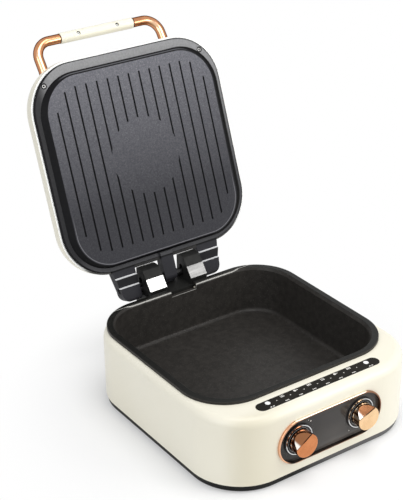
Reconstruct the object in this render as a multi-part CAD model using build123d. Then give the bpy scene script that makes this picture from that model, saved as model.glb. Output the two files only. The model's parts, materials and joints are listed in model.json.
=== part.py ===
from build123d import *
import math
import os

# Double-sided electric skillet: a square cream body with a deep non-stick pan, and a hinged
# lid that carries a ribbed grill plate. Millimetres. +X is the user's right, -Y the front
# with the two knobs, +Y the hinge side, +Z up. The origin is the middle of the body's
# footprint, on the table. The lid is built closed and then turned back to its open stop.

os.makedirs("parts", exist_ok=True)

# Pan mouth, the size that the rest of the appliance is built round
mouth_width = 290.0
mouth_depth = 282.0
mouth_corner = 58.0

# Lower pan
rim_side = 12.5
rim_front = 10.1
rim_rear = 9.3
rim_corner_grow = 10.0
rim_thickness = 4.3
rim_edge_round = 1.2
mouth_flare_depth = 4.0
mouth_edge_round = 0.8
pan_hollow = 70.7
pan_wall = 3.0
pan_draft = 6.0
pan_floor_round = 9.0
notch_width = 44.0
notch_depth = 9.9
notch_lip = 2.5
notch_lip_setback = 2.0

# Cream body round the pan's rim
deck_side = 9.0
deck_front = 43.9
deck_rear = 0.7
body_corner_grow = 8.0
body_wall = 2.6
body_low_z = 11.4
body_height = 99.6
deck_round = 12.0

# Black bottom cover with its skirt, and the rubber feet
skirt_inset = 2.2
skirt_wall = 3.0
cover_low_z = 2.0
cover_floor = 2.5
cover_edge_round = 1.5
lip_height = 6.0
lip_wall = 2.0
lip_root = 1.0
foot_radius = 12.0
foot_edge_round = 0.8
foot_stem_radius = 4.0
foot_stem_rise = 2.0
foot_from_side = 48.5
foot_from_front = 45.0
foot_from_rear = 35.0
vent_count = 7
vent_length = 52.0
vent_width = 4.0
vent_pitch = 11.0
side_boss_radius = 5.0
side_boss_inset = 11.0
side_boss_top_z = 38.0
side_boss_from_front = 83.0
side_boss_from_rear = 78.0
web_thickness = 3.0

# Gaps between pieces that fit together
housing_gap = 0.2
hole_gap = 0.05
pan_gap = 1.5

# Heater pack behind each plate, measured outwards from the plate's back face
heater_boss_radius = 5.0
heater_boss_height = 15.6
heater_boss_x = 60.0
heater_boss_y = 58.0
reflector_side = 14.75
reflector_end = 18.75
reflector_corner = 50.0
reflector_sheet = 0.8
reflector_rim = 6.0
element_radius = 3.5
element_inset = 25.0
element_bend = 45.0
element_gate = 17.0
element_leg = 24.0
element_leg_bend = 8.0
bead_radius = 5.5
bead_height = 9.0
thermostat_radius = 8.0
thermostat_flange_radius = 11.0
thermostat_flange_thickness = 1.2
thermostat_flange_drop = 2.5
thermostat_height = 12.0
thermostat_y = 30.0
thermostat_hole = 9.0
terminal_x = 4.0
terminal_width = 6.0
terminal_thickness = 0.8
terminal_length = 7.0
terminal_gap = 0.6
clip_thickness = 1.0
clip_width = 12.0
clip_reach = 24.0
clip_crown = 13.0
fuse_radius = 2.2
fuse_length = 26.0
fuse_y = -34.0
fuse_lead_radius = 0.5
fuse_lead_length = 9.0
stud_radius = 2.0
stud_grip = 9.0
nut_radius = 4.5
nut_height = 4.0

# Screws
screw_radius = 1.75
screw_head_radius = 3.4
screw_head_height = 1.4
screw_head_round = 0.63
screw_slot_width = 0.8
screw_slot_depth = 0.6
screw_length = 12.0

# Hinge, placed from the body's rear wall, the deck and the pan's rim
hinge_setback = 30.0
hinge_lift = 3.7
open_angle = 110.0
float_travel = 8.0
pin_radius = 4.0
pin_play = 0.05
pin_end_setback = 7.0
collar_wall = 2.2
collar_side_gap = 1.0
block_thickness = 43.0
block_height = 56.0
block_drop = 3.0
block_side = 3.0
block_round = 6.0
block_low_round = 2.0
block_screw_inset = 12.0
block_screw_drop = 5.0
arm_width = 28.5
arm_setback = 3.0
arm_depth = 38.0
arm_knee_drop = 1.0
arm_lean = 37.0
arm_reach = 26.0
arm_plate_length = 18.5
arm_plate_thickness = 1.2
tenon_inset = 2.5
tenon_from_front = 6.0
tenon_from_rear = 9.0
tenon_depth = 16.0
arm_screw_radius = 2.0
arm_screw_head_radius = 4.0
arm_screw_head_height = 2.6
arm_screw_head_sink = 0.3
arm_screw_length = 24.0
arm_screw_slot_reach = 2.6
arm_screw_slot_width = 1.0
arm_screw_slot_depth = 1.2

# Front controls
panel_width = 173.0
panel_height = 66.5
panel_drop = 3.2
trim_width = 2.0
trim_sleeve = 1.0
trim_proud = 3.2
trim_round = 1.2
panel_recess = 1.6
panel_seat = 3.0
panel_flange = 2.0
bracket_sheet = 1.2
bracket_inset_x = 13.0
bracket_inset_z = 8.0
knob_inset = 1.25
knob_lift = 0.5
knob_gap = 0.5
skirt_radius = 22.8
skirt_thickness = 2.0
skirt_edge_round = 0.7
ring_radius = 20.9
ring_width = 1.1
ring_depth = 0.8
ring_proud = 0.3
waist_radius = 14.5
waist_length = 2.5
cap_radius = 17.0
cap_length = 14.7
cap_wall = 1.4
cap_edge = 1.2
facet_offset = 10.0
facet_slope = 58.0
shaft_radius = 3.0
shaft_flat_height = 1.5
shaft_in_knob = 9.0
shaft_in_switch = 14.0
shaft_end_gap = 0.3
neck_radius = 4.5
neck_setback = 0.8
switch_width = 32.0
switch_height = 30.0
switch_depth = 25.0
switch_round = 3.0
switch_terminal_pitch = 8.0
switch_terminal_width = 4.8
switch_terminal_length = 6.0
left_knob_turn = 34.0
right_knob_turn = 21.0

# Function strip on the deck in front of the pan
strip_length = 203.0
strip_width = 17.6
strip_gap = 10.4
strip_proud = 0.6
strip_edge_round = 0.42
strip_flange_end = 3.0
strip_flange_side = 1.0
strip_flange_thickness = 2.0
board_thickness = 1.6
board_inset = 4.0
lens_radius = 3.6
lens_proud = 0.2
lens_inset = 19.0
lens_behind = 2.5

# Power inlet on the rear wall
inlet_lift = 18.6
inlet_flange_width = 30.0
inlet_flange_height = 24.0
inlet_ear_width = 50.0
inlet_ear_tip = 8.0
inlet_flange_thickness = 3.0
inlet_mouth_width = 24.6
inlet_mouth_height = 16.8
inlet_mouth_depth = 16.4
inlet_mouth_chamfer = 4.0
inlet_body_wall = 2.4
inlet_screw_x = 20.0
inlet_screw_head_radius = 3.0
inlet_screw_length = 10.0
blade_width = 2.0
blade_height = 4.0
blade_setback = 5.0
blade_tail = 8.0
blade_x = 7.0
blade_low = -2.0
blade_high = 2.0

# Lid in its closed place: the bezel follows the pan's rim, the plate follows the pan's mouth
bezel_side_inset = 0.3
bezel_overhang = 6.5
bezel_rear_inset = 0.7
bezel_corner_grow = 2.0
lid_rest_gap = 0.4
bezel_thickness = 3.0
bezel_edge_round = 0.8
bezel_upstand = 6.0
bezel_upstand_wall = 2.2
lid_wall = 2.6
lid_edge_lift = 3.0
lid_height = 34.8
lid_round = 26.0
plate_side_gap = 5.25
plate_front_gap = 2.35
plate_rear_gap = 2.15
plate_corner_shrink = 3.0
plate_drop = 7.5
plate_thickness = 3.2
plate_edge_round = 1.2
plate_side_slope = 8.4
plate_front_slope = 4.95
plate_rear_slope = 4.15
plate_foot_corner_grow = 7.0
flange_side_gap = 1.0
flange_rear_gap = 1.4
flange_front = 3.0
flange_thickness = 2.5
plate_gap = 0.3
groove_count = 15
groove_pitch = 17.76
groove_width = 2.8
groove_depth = 1.5
groove_shift = 2.7
groove_margin = 17.75
second_groove_cut = 10.0
edge_groove_cut = 61.0
disc_radius = 56.0
post_radius = 4.0
post_gap = 0.6
post_front_y = -30.0
post_rear_y = 70.0
bezel_screw_inset = 6.5
bezel_screw_sink = 1.6
bezel_screw_length = 11.0
bezel_boss_radius = 4.0

# Hinge ears and centre tab of the lid, placed from the pin
ear_side = 5.0
ear_width = 37.5
ear_taper = 6.0
ear_root_run = 6.0
ear_tip_back = 2.0
ear_tail = 19.0
ear_round = 15.0
ear_inner_round = 4.0
ear_face_drop = 3.9
ear_top_lift = 12.5
ear_step_ahead = 19.5
ear_ridge_ahead = 5.0
ear_step_run = 1.2
ear_step_rise = 0.8
ear_valley = 0.9
ear_edge_round = 5.0
tab_width = 21.0
tab_side = 11.0
tab_half = 7.3
heel_length = 8.0

# Handle bow on the lid, placed from the bezel's front edge and the lid's top
handle_tube_radius = 7.2
handle_bar_ahead = 34.0
handle_bar_rise = 21.5
handle_leg_inset = 52.7
handle_bend = 24.0
handle_elbow_behind = 8.6
handle_foot_behind = 39.2
handle_leg_insert = 16.0
handle_clear = 1.5
foot_block_width = 25.0
foot_block_length = 36.0
foot_block_height = 20.0
foot_block_round = 5.0
foot_block_end = 1.0
handle_core_radius = 4.0
grip_length = 124.0
grip_radius = 8.1
grip_end_round = 1.6
grip_screw_x = 33.0
grip_screw_radius = 1.5
grip_screw_head_radius = 3.0
grip_screw_head_height = 1.5
grip_screw_sink = 1.5
grip_screw_length = 12.0
grip_screw_end_gap = 0.2
grip_slot_reach = 3.4
grip_slot_width = 0.7
grip_slot_depth = 0.7

# Cutters run this far past the faces they open
overshoot = 1.0

# Worked-out sizes and places of the pan and the body
rim_width = mouth_width + 2 * rim_side
rim_depth = mouth_depth + rim_front + rim_rear
rim_corner = mouth_corner + rim_corner_grow
body_width = rim_width + 2 * deck_side
body_depth = rim_depth + deck_front + deck_rear
body_corner = rim_corner + body_corner_grow
body_front_y = -body_depth / 2
body_rear_y = body_depth / 2
body_inner_front_y = body_front_y + body_wall
rim_front_y = body_front_y + deck_front
rim_rear_y = rim_front_y + rim_depth
rim_mid_y = (rim_front_y + rim_rear_y) / 2
mouth_front_y = rim_front_y + rim_front
mouth_rear_y = mouth_front_y + mouth_depth
mouth_mid_y = (mouth_front_y + mouth_rear_y) / 2
deck_z = body_low_z + body_height
deck_under_z = deck_z - body_wall
rim_top_z = deck_z + rim_thickness
pan_floor_z = rim_top_z - pan_hollow
mouth_z = rim_top_z - mouth_flare_depth
notch_floor_z = rim_top_z - notch_depth
cover_top_z = cover_low_z + cover_floor
foot_x = body_width / 2 - foot_from_side
foot_front_y = body_front_y + foot_from_front
foot_rear_y = body_rear_y - foot_from_rear
side_boss_x = body_width / 2 - side_boss_inset
side_boss_front_y = body_front_y + side_boss_from_front
side_boss_rear_y = body_rear_y - side_boss_from_rear

# Worked-out places of the hinge
hinge_y = body_rear_y + hinge_setback
hinge_z = rim_top_z + hinge_lift
arm_inner_x = tab_width / 2 + tab_side
arm_outer_x = arm_inner_x + arm_width
arm_mid_x = (arm_inner_x + arm_outer_x) / 2
arm_front_y = body_rear_y + arm_setback
arm_rear_y = arm_front_y + arm_depth
arm_knee_z = hinge_z - arm_knee_drop
block_width = 2 * (arm_outer_x + block_side)
block_front_y = body_rear_y
block_rear_y = body_rear_y + block_thickness
block_top_z = deck_z - block_drop
block_low_z = block_top_z - block_height
tenon_front_y = arm_front_y + tenon_from_front
tenon_rear_y = arm_rear_y - tenon_from_rear
arm_screw_z = block_top_z - tenon_depth / 2
arm_screw_tip_y = block_rear_y - arm_screw_head_height - arm_screw_length

# Worked-out places of the controls, the strip and the inlet
panel_z = (body_low_z + deck_z) / 2 - panel_drop
panel_face_y = body_front_y + panel_recess
panel_back_y = body_inner_front_y + panel_flange
bracket_back_y = panel_back_y + bracket_sheet
knob_x = (panel_width - panel_height) / 2 - knob_inset
knob_z = panel_z + knob_lift
skirt_back_y = panel_face_y - knob_gap
skirt_face_y = skirt_back_y - skirt_thickness
cap_back_y = skirt_face_y - waist_length
cap_face_y = cap_back_y - cap_length
shaft_tip_y = skirt_back_y - shaft_in_knob
shaft_rear_y = bracket_back_y + shaft_in_switch
strip_y = rim_front_y - strip_gap - strip_width / 2
lens_x = strip_length / 2 - lens_inset
lens_y = strip_y + lens_behind
inlet_x = body_width / 2 - body_corner - inlet_ear_width / 2
inlet_z = body_low_z + inlet_lift
inlet_face_y = body_rear_y + inlet_flange_thickness
inlet_floor_y = inlet_face_y - inlet_mouth_depth
inlet_back_y = inlet_floor_y - inlet_body_wall
inlet_outer_width = inlet_mouth_width + 2 * inlet_body_wall
inlet_outer_height = inlet_mouth_height + 2 * inlet_body_wall

# Worked-out sizes and places of the lid
bezel_width = rim_width - 2 * bezel_side_inset
bezel_front_y = rim_front_y - bezel_overhang
bezel_rear_y = rim_rear_y - bezel_rear_inset
bezel_depth = bezel_rear_y - bezel_front_y
bezel_mid_y = (bezel_front_y + bezel_rear_y) / 2
bezel_corner = rim_corner + bezel_corner_grow
bezel_z = rim_top_z + lid_rest_gap
bezel_top_z = bezel_z + bezel_thickness
bezel_screw_seat_z = bezel_z + bezel_screw_sink
bezel_screw_x = bezel_width / 2 - bezel_corner + (bezel_corner - bezel_screw_inset) / math.sqrt(2)
bezel_screw_y = bezel_front_y + bezel_corner - (bezel_corner - bezel_screw_inset) / math.sqrt(2)
lid_low_z = bezel_z + lid_edge_lift
lid_top_z = lid_low_z + lid_height
plate_width = mouth_width - 2 * plate_side_gap
plate_front_y = mouth_front_y + plate_front_gap
plate_rear_y = mouth_rear_y - plate_rear_gap
plate_depth = plate_rear_y - plate_front_y
plate_mid_y = (plate_front_y + plate_rear_y) / 2
plate_corner = mouth_corner - plate_corner_shrink
plate_face_z = bezel_z - plate_drop
plate_foot_width = plate_width + 2 * plate_side_slope
plate_foot_front_y = plate_front_y - plate_front_slope
plate_foot_rear_y = plate_rear_y + plate_rear_slope
plate_foot_depth = plate_foot_rear_y - plate_foot_front_y
plate_foot_mid_y = (plate_foot_front_y + plate_foot_rear_y) / 2
plate_foot_corner = plate_corner + plate_foot_corner_grow
flange_top_z = bezel_top_z + flange_thickness
groove_length = plate_depth - 2 * groove_margin
groove_mid_y = plate_mid_y - groove_shift
post_x = bezel_width / 2 - bezel_upstand_wall - post_radius - post_gap
reflector_width = plate_width - 2 * reflector_side
reflector_depth = plate_depth - 2 * reflector_end
element_width = reflector_width - 2 * element_inset
element_depth = reflector_depth - 2 * element_inset
ear_inner_x = arm_outer_x + ear_side
ear_root_x = ear_inner_x + ear_width
ear_tip_x = ear_root_x - ear_taper
ear_tip_y = hinge_y + ear_tip_back
ear_rear_y = hinge_y + ear_tail
ear_step_y = hinge_y - ear_step_ahead
ear_ridge_y = hinge_y - ear_ridge_ahead
ear_root_y = bezel_rear_y - bezel_upstand_wall
tab_front_y = plate_foot_rear_y + 2 * plate_gap
handle_leg_x = bezel_width / 2 - handle_leg_inset
handle_bar_y = bezel_front_y - handle_bar_ahead
handle_bar_z = lid_top_z + handle_bar_rise
handle_elbow_y = bezel_front_y + handle_elbow_behind
handle_foot_y = bezel_front_y + handle_foot_behind
leg_z = lid_top_z + handle_clear + handle_tube_radius
foot_block_mid_y = handle_foot_y - handle_leg_insert + foot_block_length / 2


def slab(width, depth, corner, low_z, high_z, mid_y=0.0):
    """Upright prism with rounded corners."""
    outline = Pos(0, mid_y, low_z) * RectangleRounded(width, depth, corner)
    return extrude(outline, high_z - low_z)


def post(x, y, radius, low_z, high_z):
    """Upright round bar."""
    return Pos(x, y, (low_z + high_z) / 2) * Cylinder(radius, high_z - low_z)


def rod_y(x, z, radius, front_y, rear_y):
    """Round bar along Y."""
    return Pos(x, (front_y + rear_y) / 2, z) * Rot(90, 0, 0) * Cylinder(radius, rear_y - front_y)


def rod_x(y, z, radius, left_x, right_x):
    """Round bar along X."""
    return Pos((left_x + right_x) / 2, y, z) * Rot(0, 90, 0) * Cylinder(radius, right_x - left_x)


def block(left_x, right_x, front_y, rear_y, low_z, high_z):
    """Plain box from its six faces."""
    size = (right_x - left_x, rear_y - front_y, high_z - low_z)
    return Pos((left_x + right_x) / 2, (front_y + rear_y) / 2, (low_z + high_z) / 2) * Box(*size)


def front_pill(width, height, mid_z, front_y, rear_y):
    """Plate with round ends that faces the front."""
    plane = Plane(origin=(0, rear_y, mid_z), x_dir=(1, 0, 0), z_dir=(0, -1, 0))
    return extrude(plane * SlotOverall(width, height), rear_y - front_y)


def side_profile(face, left_x, right_x):
    """Pulls a face drawn in (y, z) along X."""
    plane = Plane(origin=(left_x, 0, 0), x_dir=(0, 1, 0), z_dir=(1, 0, 0))
    return extrude(plane * face, right_x - left_x)


def polygon(points):
    """Flat face through straight edges."""
    return make_face(Polyline(*points, close=True))


def mirrored(shape):
    """The same piece on the other side of the middle plane."""
    return mirror(shape, about=Plane.YZ)


def joined(shapes):
    """Separate solids kept together in one node."""
    return Compound(children=list(shapes))


def opened(shape):
    """Turns a lid piece from closed to the open stop."""
    return shape.rotate(Axis((0, hinge_y, hinge_z), (1, 0, 0)), -open_angle)


def save(name, shape):
    """Writes one node."""
    export_step(shape, "parts/" + name + ".step")


def upright_screw(x, y, seat_z, length=screw_length, direction=1):
    """Pan-head screw whose head sits on seat_z and whose shank runs along direction."""
    head_low, head_high = sorted([seat_z, seat_z - direction * screw_head_height])
    shank_low, shank_high = sorted([seat_z, seat_z + direction * length])
    head = post(x, y, screw_head_radius, head_low, head_high)
    outer_edge = head.edges().filter_by(GeomType.CIRCLE).sort_by(Axis.Z)[0 if direction > 0 else -1]
    head = fillet(outer_edge, screw_head_round)
    half_slot = screw_slot_width / 2
    slot_low, slot_high = sorted([seat_z - direction * (screw_head_height - screw_slot_depth),
                                  seat_z - direction * (screw_head_height + overshoot)])
    slot = block(x - screw_head_radius, x + screw_head_radius, y - half_slot, y + half_slot,
                 slot_low, slot_high)
    cross = block(x - half_slot, x + half_slot, y - screw_head_radius, y + screw_head_radius,
                  slot_low, slot_high)
    return head - slot - cross + post(x, y, screw_radius, shank_low, shank_high)


# Body and bottom cover

def make_base_shell():
    outer = slab(body_width, body_depth, body_corner, body_low_z, deck_z)
    top_edges = outer.faces().sort_by(Axis.Z)[-1].edges()
    outer = fillet(top_edges, deck_round)
    inner = slab(body_width - 2 * body_wall, body_depth - 2 * body_wall, body_corner - body_wall,
                 body_low_z, deck_under_z)
    inner = fillet(inner.faces().sort_by(Axis.Z)[-1].edges(), deck_round - body_wall)
    shell = outer - inner
    hole_width = mouth_width + 2 * pan_wall + 2 * pan_gap
    hole_depth = mouth_depth + 2 * pan_wall + 2 * pan_gap
    hole_corner = mouth_corner + pan_wall + pan_gap
    shell -= slab(hole_width, hole_depth, hole_corner, deck_under_z - deck_round, deck_z + 1,
                  mouth_mid_y)
    notch_low = notch_floor_z - notch_lip - housing_gap
    half_notch = notch_width / 2 + housing_gap
    shell -= block(-half_notch, half_notch, mouth_mid_y, body_rear_y + 1, notch_low, deck_z + 1)
    strip_hole = Pos(0, strip_y, deck_under_z - 1) * SlotOverall(strip_length + 2 * housing_gap,
                                                                 strip_width + 2 * housing_gap)
    shell -= extrude(strip_hole, body_wall + 2)
    window_grow = 2 * (trim_sleeve - trim_width + housing_gap)
    window_width = panel_width + window_grow
    window_height = panel_height + window_grow
    shell -= front_pill(window_width, window_height, panel_z, body_front_y - 1,
                        body_inner_front_y + 1)
    shell -= block(inlet_x - inlet_outer_width / 2 - housing_gap,
                   inlet_x + inlet_outer_width / 2 + housing_gap,
                   body_rear_y - body_wall - 1, body_rear_y + 1,
                   inlet_z - inlet_outer_height / 2 - housing_gap,
                   inlet_z + inlet_outer_height / 2 + housing_gap)
    for x in (inlet_x - inlet_screw_x, inlet_x + inlet_screw_x):
        shell -= rod_y(x, inlet_z, screw_radius + hole_gap, body_rear_y - body_wall - 1,
                       body_rear_y + 1)
    for x, z in block_screw_places():
        shell -= rod_y(x, z, screw_radius + hole_gap, body_rear_y - body_wall - 1,
                       body_rear_y + 1)
    for x, y in side_boss_places():
        shell += side_boss(x, y)
    return shell


def side_boss_places():
    return [(side * side_boss_x, y) for side in (-1, 1)
            for y in (side_boss_front_y, side_boss_rear_y)]


def side_boss(x, y):
    """Screw boss on the side wall, held by a web above the cover's lip."""
    tube = post(x, y, side_boss_radius, cover_top_z, side_boss_top_z)
    wall_x = math.copysign(body_width / 2 - body_wall, x)
    web_low = body_low_z + lip_height + 2 * housing_gap
    near, far = sorted([x, wall_x])
    web = block(near, far, y - web_thickness / 2, y + web_thickness / 2, web_low, side_boss_top_z)
    bore = post(x, y, screw_radius + hole_gap, cover_top_z - 1, cover_top_z + screw_length + 1)
    return tube + web - bore


def make_bottom_cover():
    outer_width = body_width - 2 * skirt_inset
    outer_depth = body_depth - 2 * skirt_inset
    outer_corner = body_corner - skirt_inset
    tray = slab(outer_width, outer_depth, outer_corner, cover_low_z, body_low_z)
    tray = fillet(tray.faces().sort_by(Axis.Z)[0].edges(), cover_edge_round)
    tray -= slab(outer_width - 2 * skirt_wall, outer_depth - 2 * skirt_wall,
                 outer_corner - skirt_wall, cover_top_z, body_low_z + 1)
    lip_inset = body_wall + housing_gap
    lip_low = body_low_z - lip_root
    lip_high = body_low_z + lip_height
    lip = slab(body_width - 2 * lip_inset, body_depth - 2 * lip_inset, body_corner - lip_inset,
               lip_low, lip_high)
    bore_inset = lip_inset + lip_wall
    lip -= slab(body_width - 2 * bore_inset, body_depth - 2 * bore_inset,
                body_corner - bore_inset, lip_low - 1, lip_high + 1)
    cover = tray + lip
    for x, y in foot_places():
        cover -= post(x, y, foot_stem_radius + hole_gap, 0, cover_top_z + 1)
    for x, y in side_boss_places() + heater_boss_places():
        cover -= post(x, y, screw_radius + hole_gap, 0, cover_top_z + 1)
    for index in range(vent_count):
        vent_y = mouth_mid_y + (index - (vent_count - 1) / 2) * vent_pitch
        slot = Pos(0, vent_y, 0) * SlotOverall(vent_length, vent_width)
        cover -= extrude(slot, cover_top_z + 1)
    return cover


def foot_places():
    return [(side * foot_x, y) for side in (-1, 1) for y in (foot_front_y, foot_rear_y)]


def make_foot(x, y):
    pad = post(x, y, foot_radius, 0, cover_low_z)
    pad = fillet(pad.edges().filter_by(GeomType.CIRCLE).sort_by(Axis.Z)[0],
                 foot_edge_round)
    return pad + post(x, y, foot_stem_radius, cover_low_z, cover_top_z + foot_stem_rise)


# Lower pan and the heater pack that both plates share

def heater_boss_places():
    return [(side * heater_boss_x, mouth_mid_y + end * heater_boss_y)
            for side in (-1, 1) for end in (-1, 1)]


def drafted_cup(width, depth, corner, mid_y, top_z, low_z, draft):
    """Solid with rounded corners that narrows by draft on each side towards its low face."""
    top = Pos(0, mid_y, top_z) * RectangleRounded(width, depth, corner)
    low = Pos(0, mid_y, low_z) * RectangleRounded(width - 2 * draft, depth - 2 * draft,
                                                  corner - draft)
    return loft([low, top], ruled=True)


def mouth_flare():
    """Sloped mouth of the pan, which the side of the lid's plate follows with a small gap."""
    low = Pos(0, mouth_mid_y, mouth_z) * RectangleRounded(mouth_width, mouth_depth, mouth_corner)
    top = Pos(0, plate_foot_mid_y, rim_top_z) * RectangleRounded(
        plate_foot_width + 2 * plate_gap, plate_foot_depth + 2 * plate_gap,
        plate_foot_corner + plate_gap)
    return loft([low, top], ruled=True)


def plan_reach(point):
    """How far out a point of the rim lies, as a share of the rim's half sizes."""
    return max(abs(point.X) / (rim_width / 2), abs(point.Y - rim_mid_y) / (rim_depth / 2))


def make_lower_pan():
    under_z = pan_floor_z - pan_wall
    cup = drafted_cup(mouth_width + 2 * pan_wall, mouth_depth + 2 * pan_wall,
                      mouth_corner + pan_wall, mouth_mid_y, deck_z, under_z, pan_draft)
    cup = fillet(cup.faces().sort_by(Axis.Z)[0].edges(), pan_floor_round)
    rim = slab(rim_width, rim_depth, rim_corner, deck_z, rim_top_z, rim_mid_y)
    rim = fillet(rim.faces().sort_by(Axis.Z)[-1].edges(), rim_edge_round)
    hollow = drafted_cup(mouth_width, mouth_depth, mouth_corner, mouth_mid_y, mouth_z,
                         pan_floor_z, pan_draft)
    hollow = fillet(hollow.faces().sort_by(Axis.Z)[0].edges(), pan_floor_round - pan_wall)
    pan = cup + rim - hollow - mouth_flare()
    top_edges = pan.edges().filter_by(lambda edge: edge.center().Z > rim_top_z - 0.01)
    inner_edges = top_edges.sort_by(lambda edge: plan_reach(edge.center()))[:8]
    pan = fillet(inner_edges, mouth_edge_round)
    pan -= block(-notch_width / 2, notch_width / 2, mouth_mid_y, rim_rear_y + 1, notch_floor_z,
                 rim_top_z + 1)
    lip = block(-notch_width / 2, notch_width / 2, mouth_rear_y, rim_rear_y - notch_lip_setback,
                notch_floor_z - notch_lip, notch_floor_z)
    pan += lip
    for x, y in heater_boss_places():
        pan += post(x, y, heater_boss_radius, under_z - heater_boss_height, under_z + 0.5)
        pan -= post(x, y, stud_radius + hole_gap, under_z - heater_boss_height - 1,
                    under_z - heater_boss_height + stud_grip + 1)
    return pan


def heater_path():
    """Centre line of a sheathed element: one loop with its two ends turned away."""
    half_x = element_width / 2
    half_y = element_depth / 2
    rise = element_radius + hole_gap
    gate = element_gate
    points = [(-gate, -half_y, element_leg), (-gate, -half_y, rise), (-half_x, -half_y, rise),
              (-half_x, half_y, rise), (half_x, half_y, rise), (half_x, -half_y, rise),
              (gate, -half_y, rise), (gate, -half_y, element_leg)]
    bends = [element_leg_bend, element_bend, element_bend, element_bend, element_bend,
             element_leg_bend]
    return FilletPolyline(*points, radius=bends)


def make_element():
    path = heater_path()
    return sweep(Plane(origin=path @ 0, z_dir=path % 0) * Circle(element_radius), path=path)


def make_reflector():
    high = heater_boss_height + reflector_sheet
    low = heater_boss_height - reflector_rim
    tray = slab(reflector_width, reflector_depth, reflector_corner, low, high)
    tray -= slab(reflector_width - 2 * reflector_sheet, reflector_depth - 2 * reflector_sheet,
                 reflector_corner - reflector_sheet, low - 1, heater_boss_height)
    for x in (-heater_boss_x, heater_boss_x):
        for y in (-heater_boss_y, heater_boss_y):
            tray -= post(x, y, stud_radius + hole_gap, low, high + 1)
    for x in (-element_gate, element_gate):
        tray -= post(x, -element_depth / 2, bead_radius + hole_gap, low, high + 1)
    tray -= post(0, thermostat_y, thermostat_hole, low, high + 1)
    return tray


def make_beads():
    low = heater_boss_height - bead_height / 2
    beads = []
    for x in (-element_gate, element_gate):
        ring = post(x, -element_depth / 2, bead_radius, low, low + bead_height)
        beads.append(ring - post(x, -element_depth / 2, element_radius + hole_gap, low - 1,
                                 low + bead_height + 1))
    return beads


def make_thermostat():
    can = post(0, thermostat_y, thermostat_radius, 0, thermostat_height)
    flange_low = thermostat_height - thermostat_flange_drop
    can += post(0, thermostat_y, thermostat_flange_radius, flange_low,
                flange_low + thermostat_flange_thickness)
    for x in (-terminal_x, terminal_x):
        can += terminal_block(x, 0, thermostat_height, heater_boss_height + terminal_length)
    return can


def terminal_block(x, grow, low, high):
    """A flat terminal of the thermostat, or the slot round it."""
    half_thickness = terminal_thickness / 2 + grow
    half_width = terminal_width / 2 + grow
    return block(x - half_thickness, x + half_thickness, thermostat_y - half_width,
                 thermostat_y + half_width, low, high)


def make_clip():
    """Hat-shaped strip that presses the thermostat on the plate."""
    low = thermostat_height
    crown = block(-clip_crown, clip_crown, -clip_width / 2, clip_width / 2, low,
                  low + clip_thickness)
    leg = block(clip_crown - clip_thickness, clip_crown, -clip_width / 2, clip_width / 2, low,
                heater_boss_height)
    foot = block(clip_crown - clip_thickness, clip_reach, -clip_width / 2, clip_width / 2,
                 heater_boss_height - clip_thickness, heater_boss_height)
    strip = crown + leg + mirrored(leg) + foot + mirrored(foot)
    strip = Pos(0, thermostat_y, 0) * strip
    for x in (-terminal_x, terminal_x):
        strip -= terminal_block(x, terminal_gap, low - 1, heater_boss_height)
    return strip


def make_fuse():
    """Sleeved thermal cut-out that lies against the reflector."""
    axis_z = heater_boss_height - fuse_radius - hole_gap
    body = rod_x(fuse_y, axis_z, fuse_radius, -fuse_length / 2, fuse_length / 2)
    lead_end = fuse_length / 2 + fuse_lead_length
    lead = rod_x(fuse_y, axis_z, fuse_lead_radius, -lead_end, lead_end)
    return body + lead


def heater_pack(prefix, place, name_map):
    """Builds the pieces behind one plate and puts them in place."""
    pieces = {
        "heating_element": make_element(),
        "reflector": make_reflector(),
        "element_beads": joined(make_beads()),
        "thermostat": make_thermostat(),
        "thermostat_clip": make_clip(),
        "thermal_fuse": make_fuse(),
    }
    for name in name_map:
        save(prefix + "_" + name, place(pieces[name]))


def lower_place(shape):
    """The lower pack hangs under the pan's floor."""
    turned = shape.rotate(Axis.Y, 180)
    return turned.translate((0, mouth_mid_y, pan_floor_z - pan_wall))


def make_standoffs():
    """Pillars between the bottom cover and the reflector, with studs into the pan's bosses."""
    seat_z = pan_floor_z - pan_wall - heater_boss_height - reflector_sheet
    pillars = []
    for x, y in heater_boss_places():
        hexagon = Pos(x, y, cover_top_z) * RegularPolygon(nut_radius, 6)
        pillar = extrude(hexagon, seat_z - cover_top_z)
        pillar += post(x, y, stud_radius, seat_z, seat_z + reflector_sheet + stud_grip)
        pillar -= post(x, y, screw_radius + hole_gap, cover_top_z - 1,
                       cover_top_z + screw_length + 1)
        pillars.append(pillar)
    return pillars


# Hinge on the base

def arm_face():
    """Side outline of a hinge arm: upright front, leaning face, crest round the pin."""
    lean = math.radians(arm_lean)
    up_y, up_z = math.sin(lean), math.cos(lean)
    knee_y = arm_front_y - hinge_y
    knee_z = arm_knee_z - hinge_z
    middle = -(knee_y * up_y + knee_z * up_z)
    face_length = middle + math.sqrt(middle ** 2 + arm_reach ** 2 - knee_y ** 2 - knee_z ** 2)
    rear_rise = math.sqrt(arm_reach ** 2 - (arm_rear_y - hinge_y) ** 2)
    knee = (arm_front_y, arm_knee_z)
    brow = (arm_front_y + face_length * up_y, arm_knee_z + face_length * up_z)
    crest = (hinge_y, hinge_z + arm_reach)
    rear = (arm_rear_y, hinge_z + rear_rise)
    edges = [Line((arm_front_y, block_top_z), knee), Line(knee, brow),
             ThreePointArc(brow, crest, rear), Line(rear, (arm_rear_y, block_top_z)),
             Line((arm_rear_y, block_top_z), (arm_front_y, block_top_z))]
    return make_face(edges)


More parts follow.
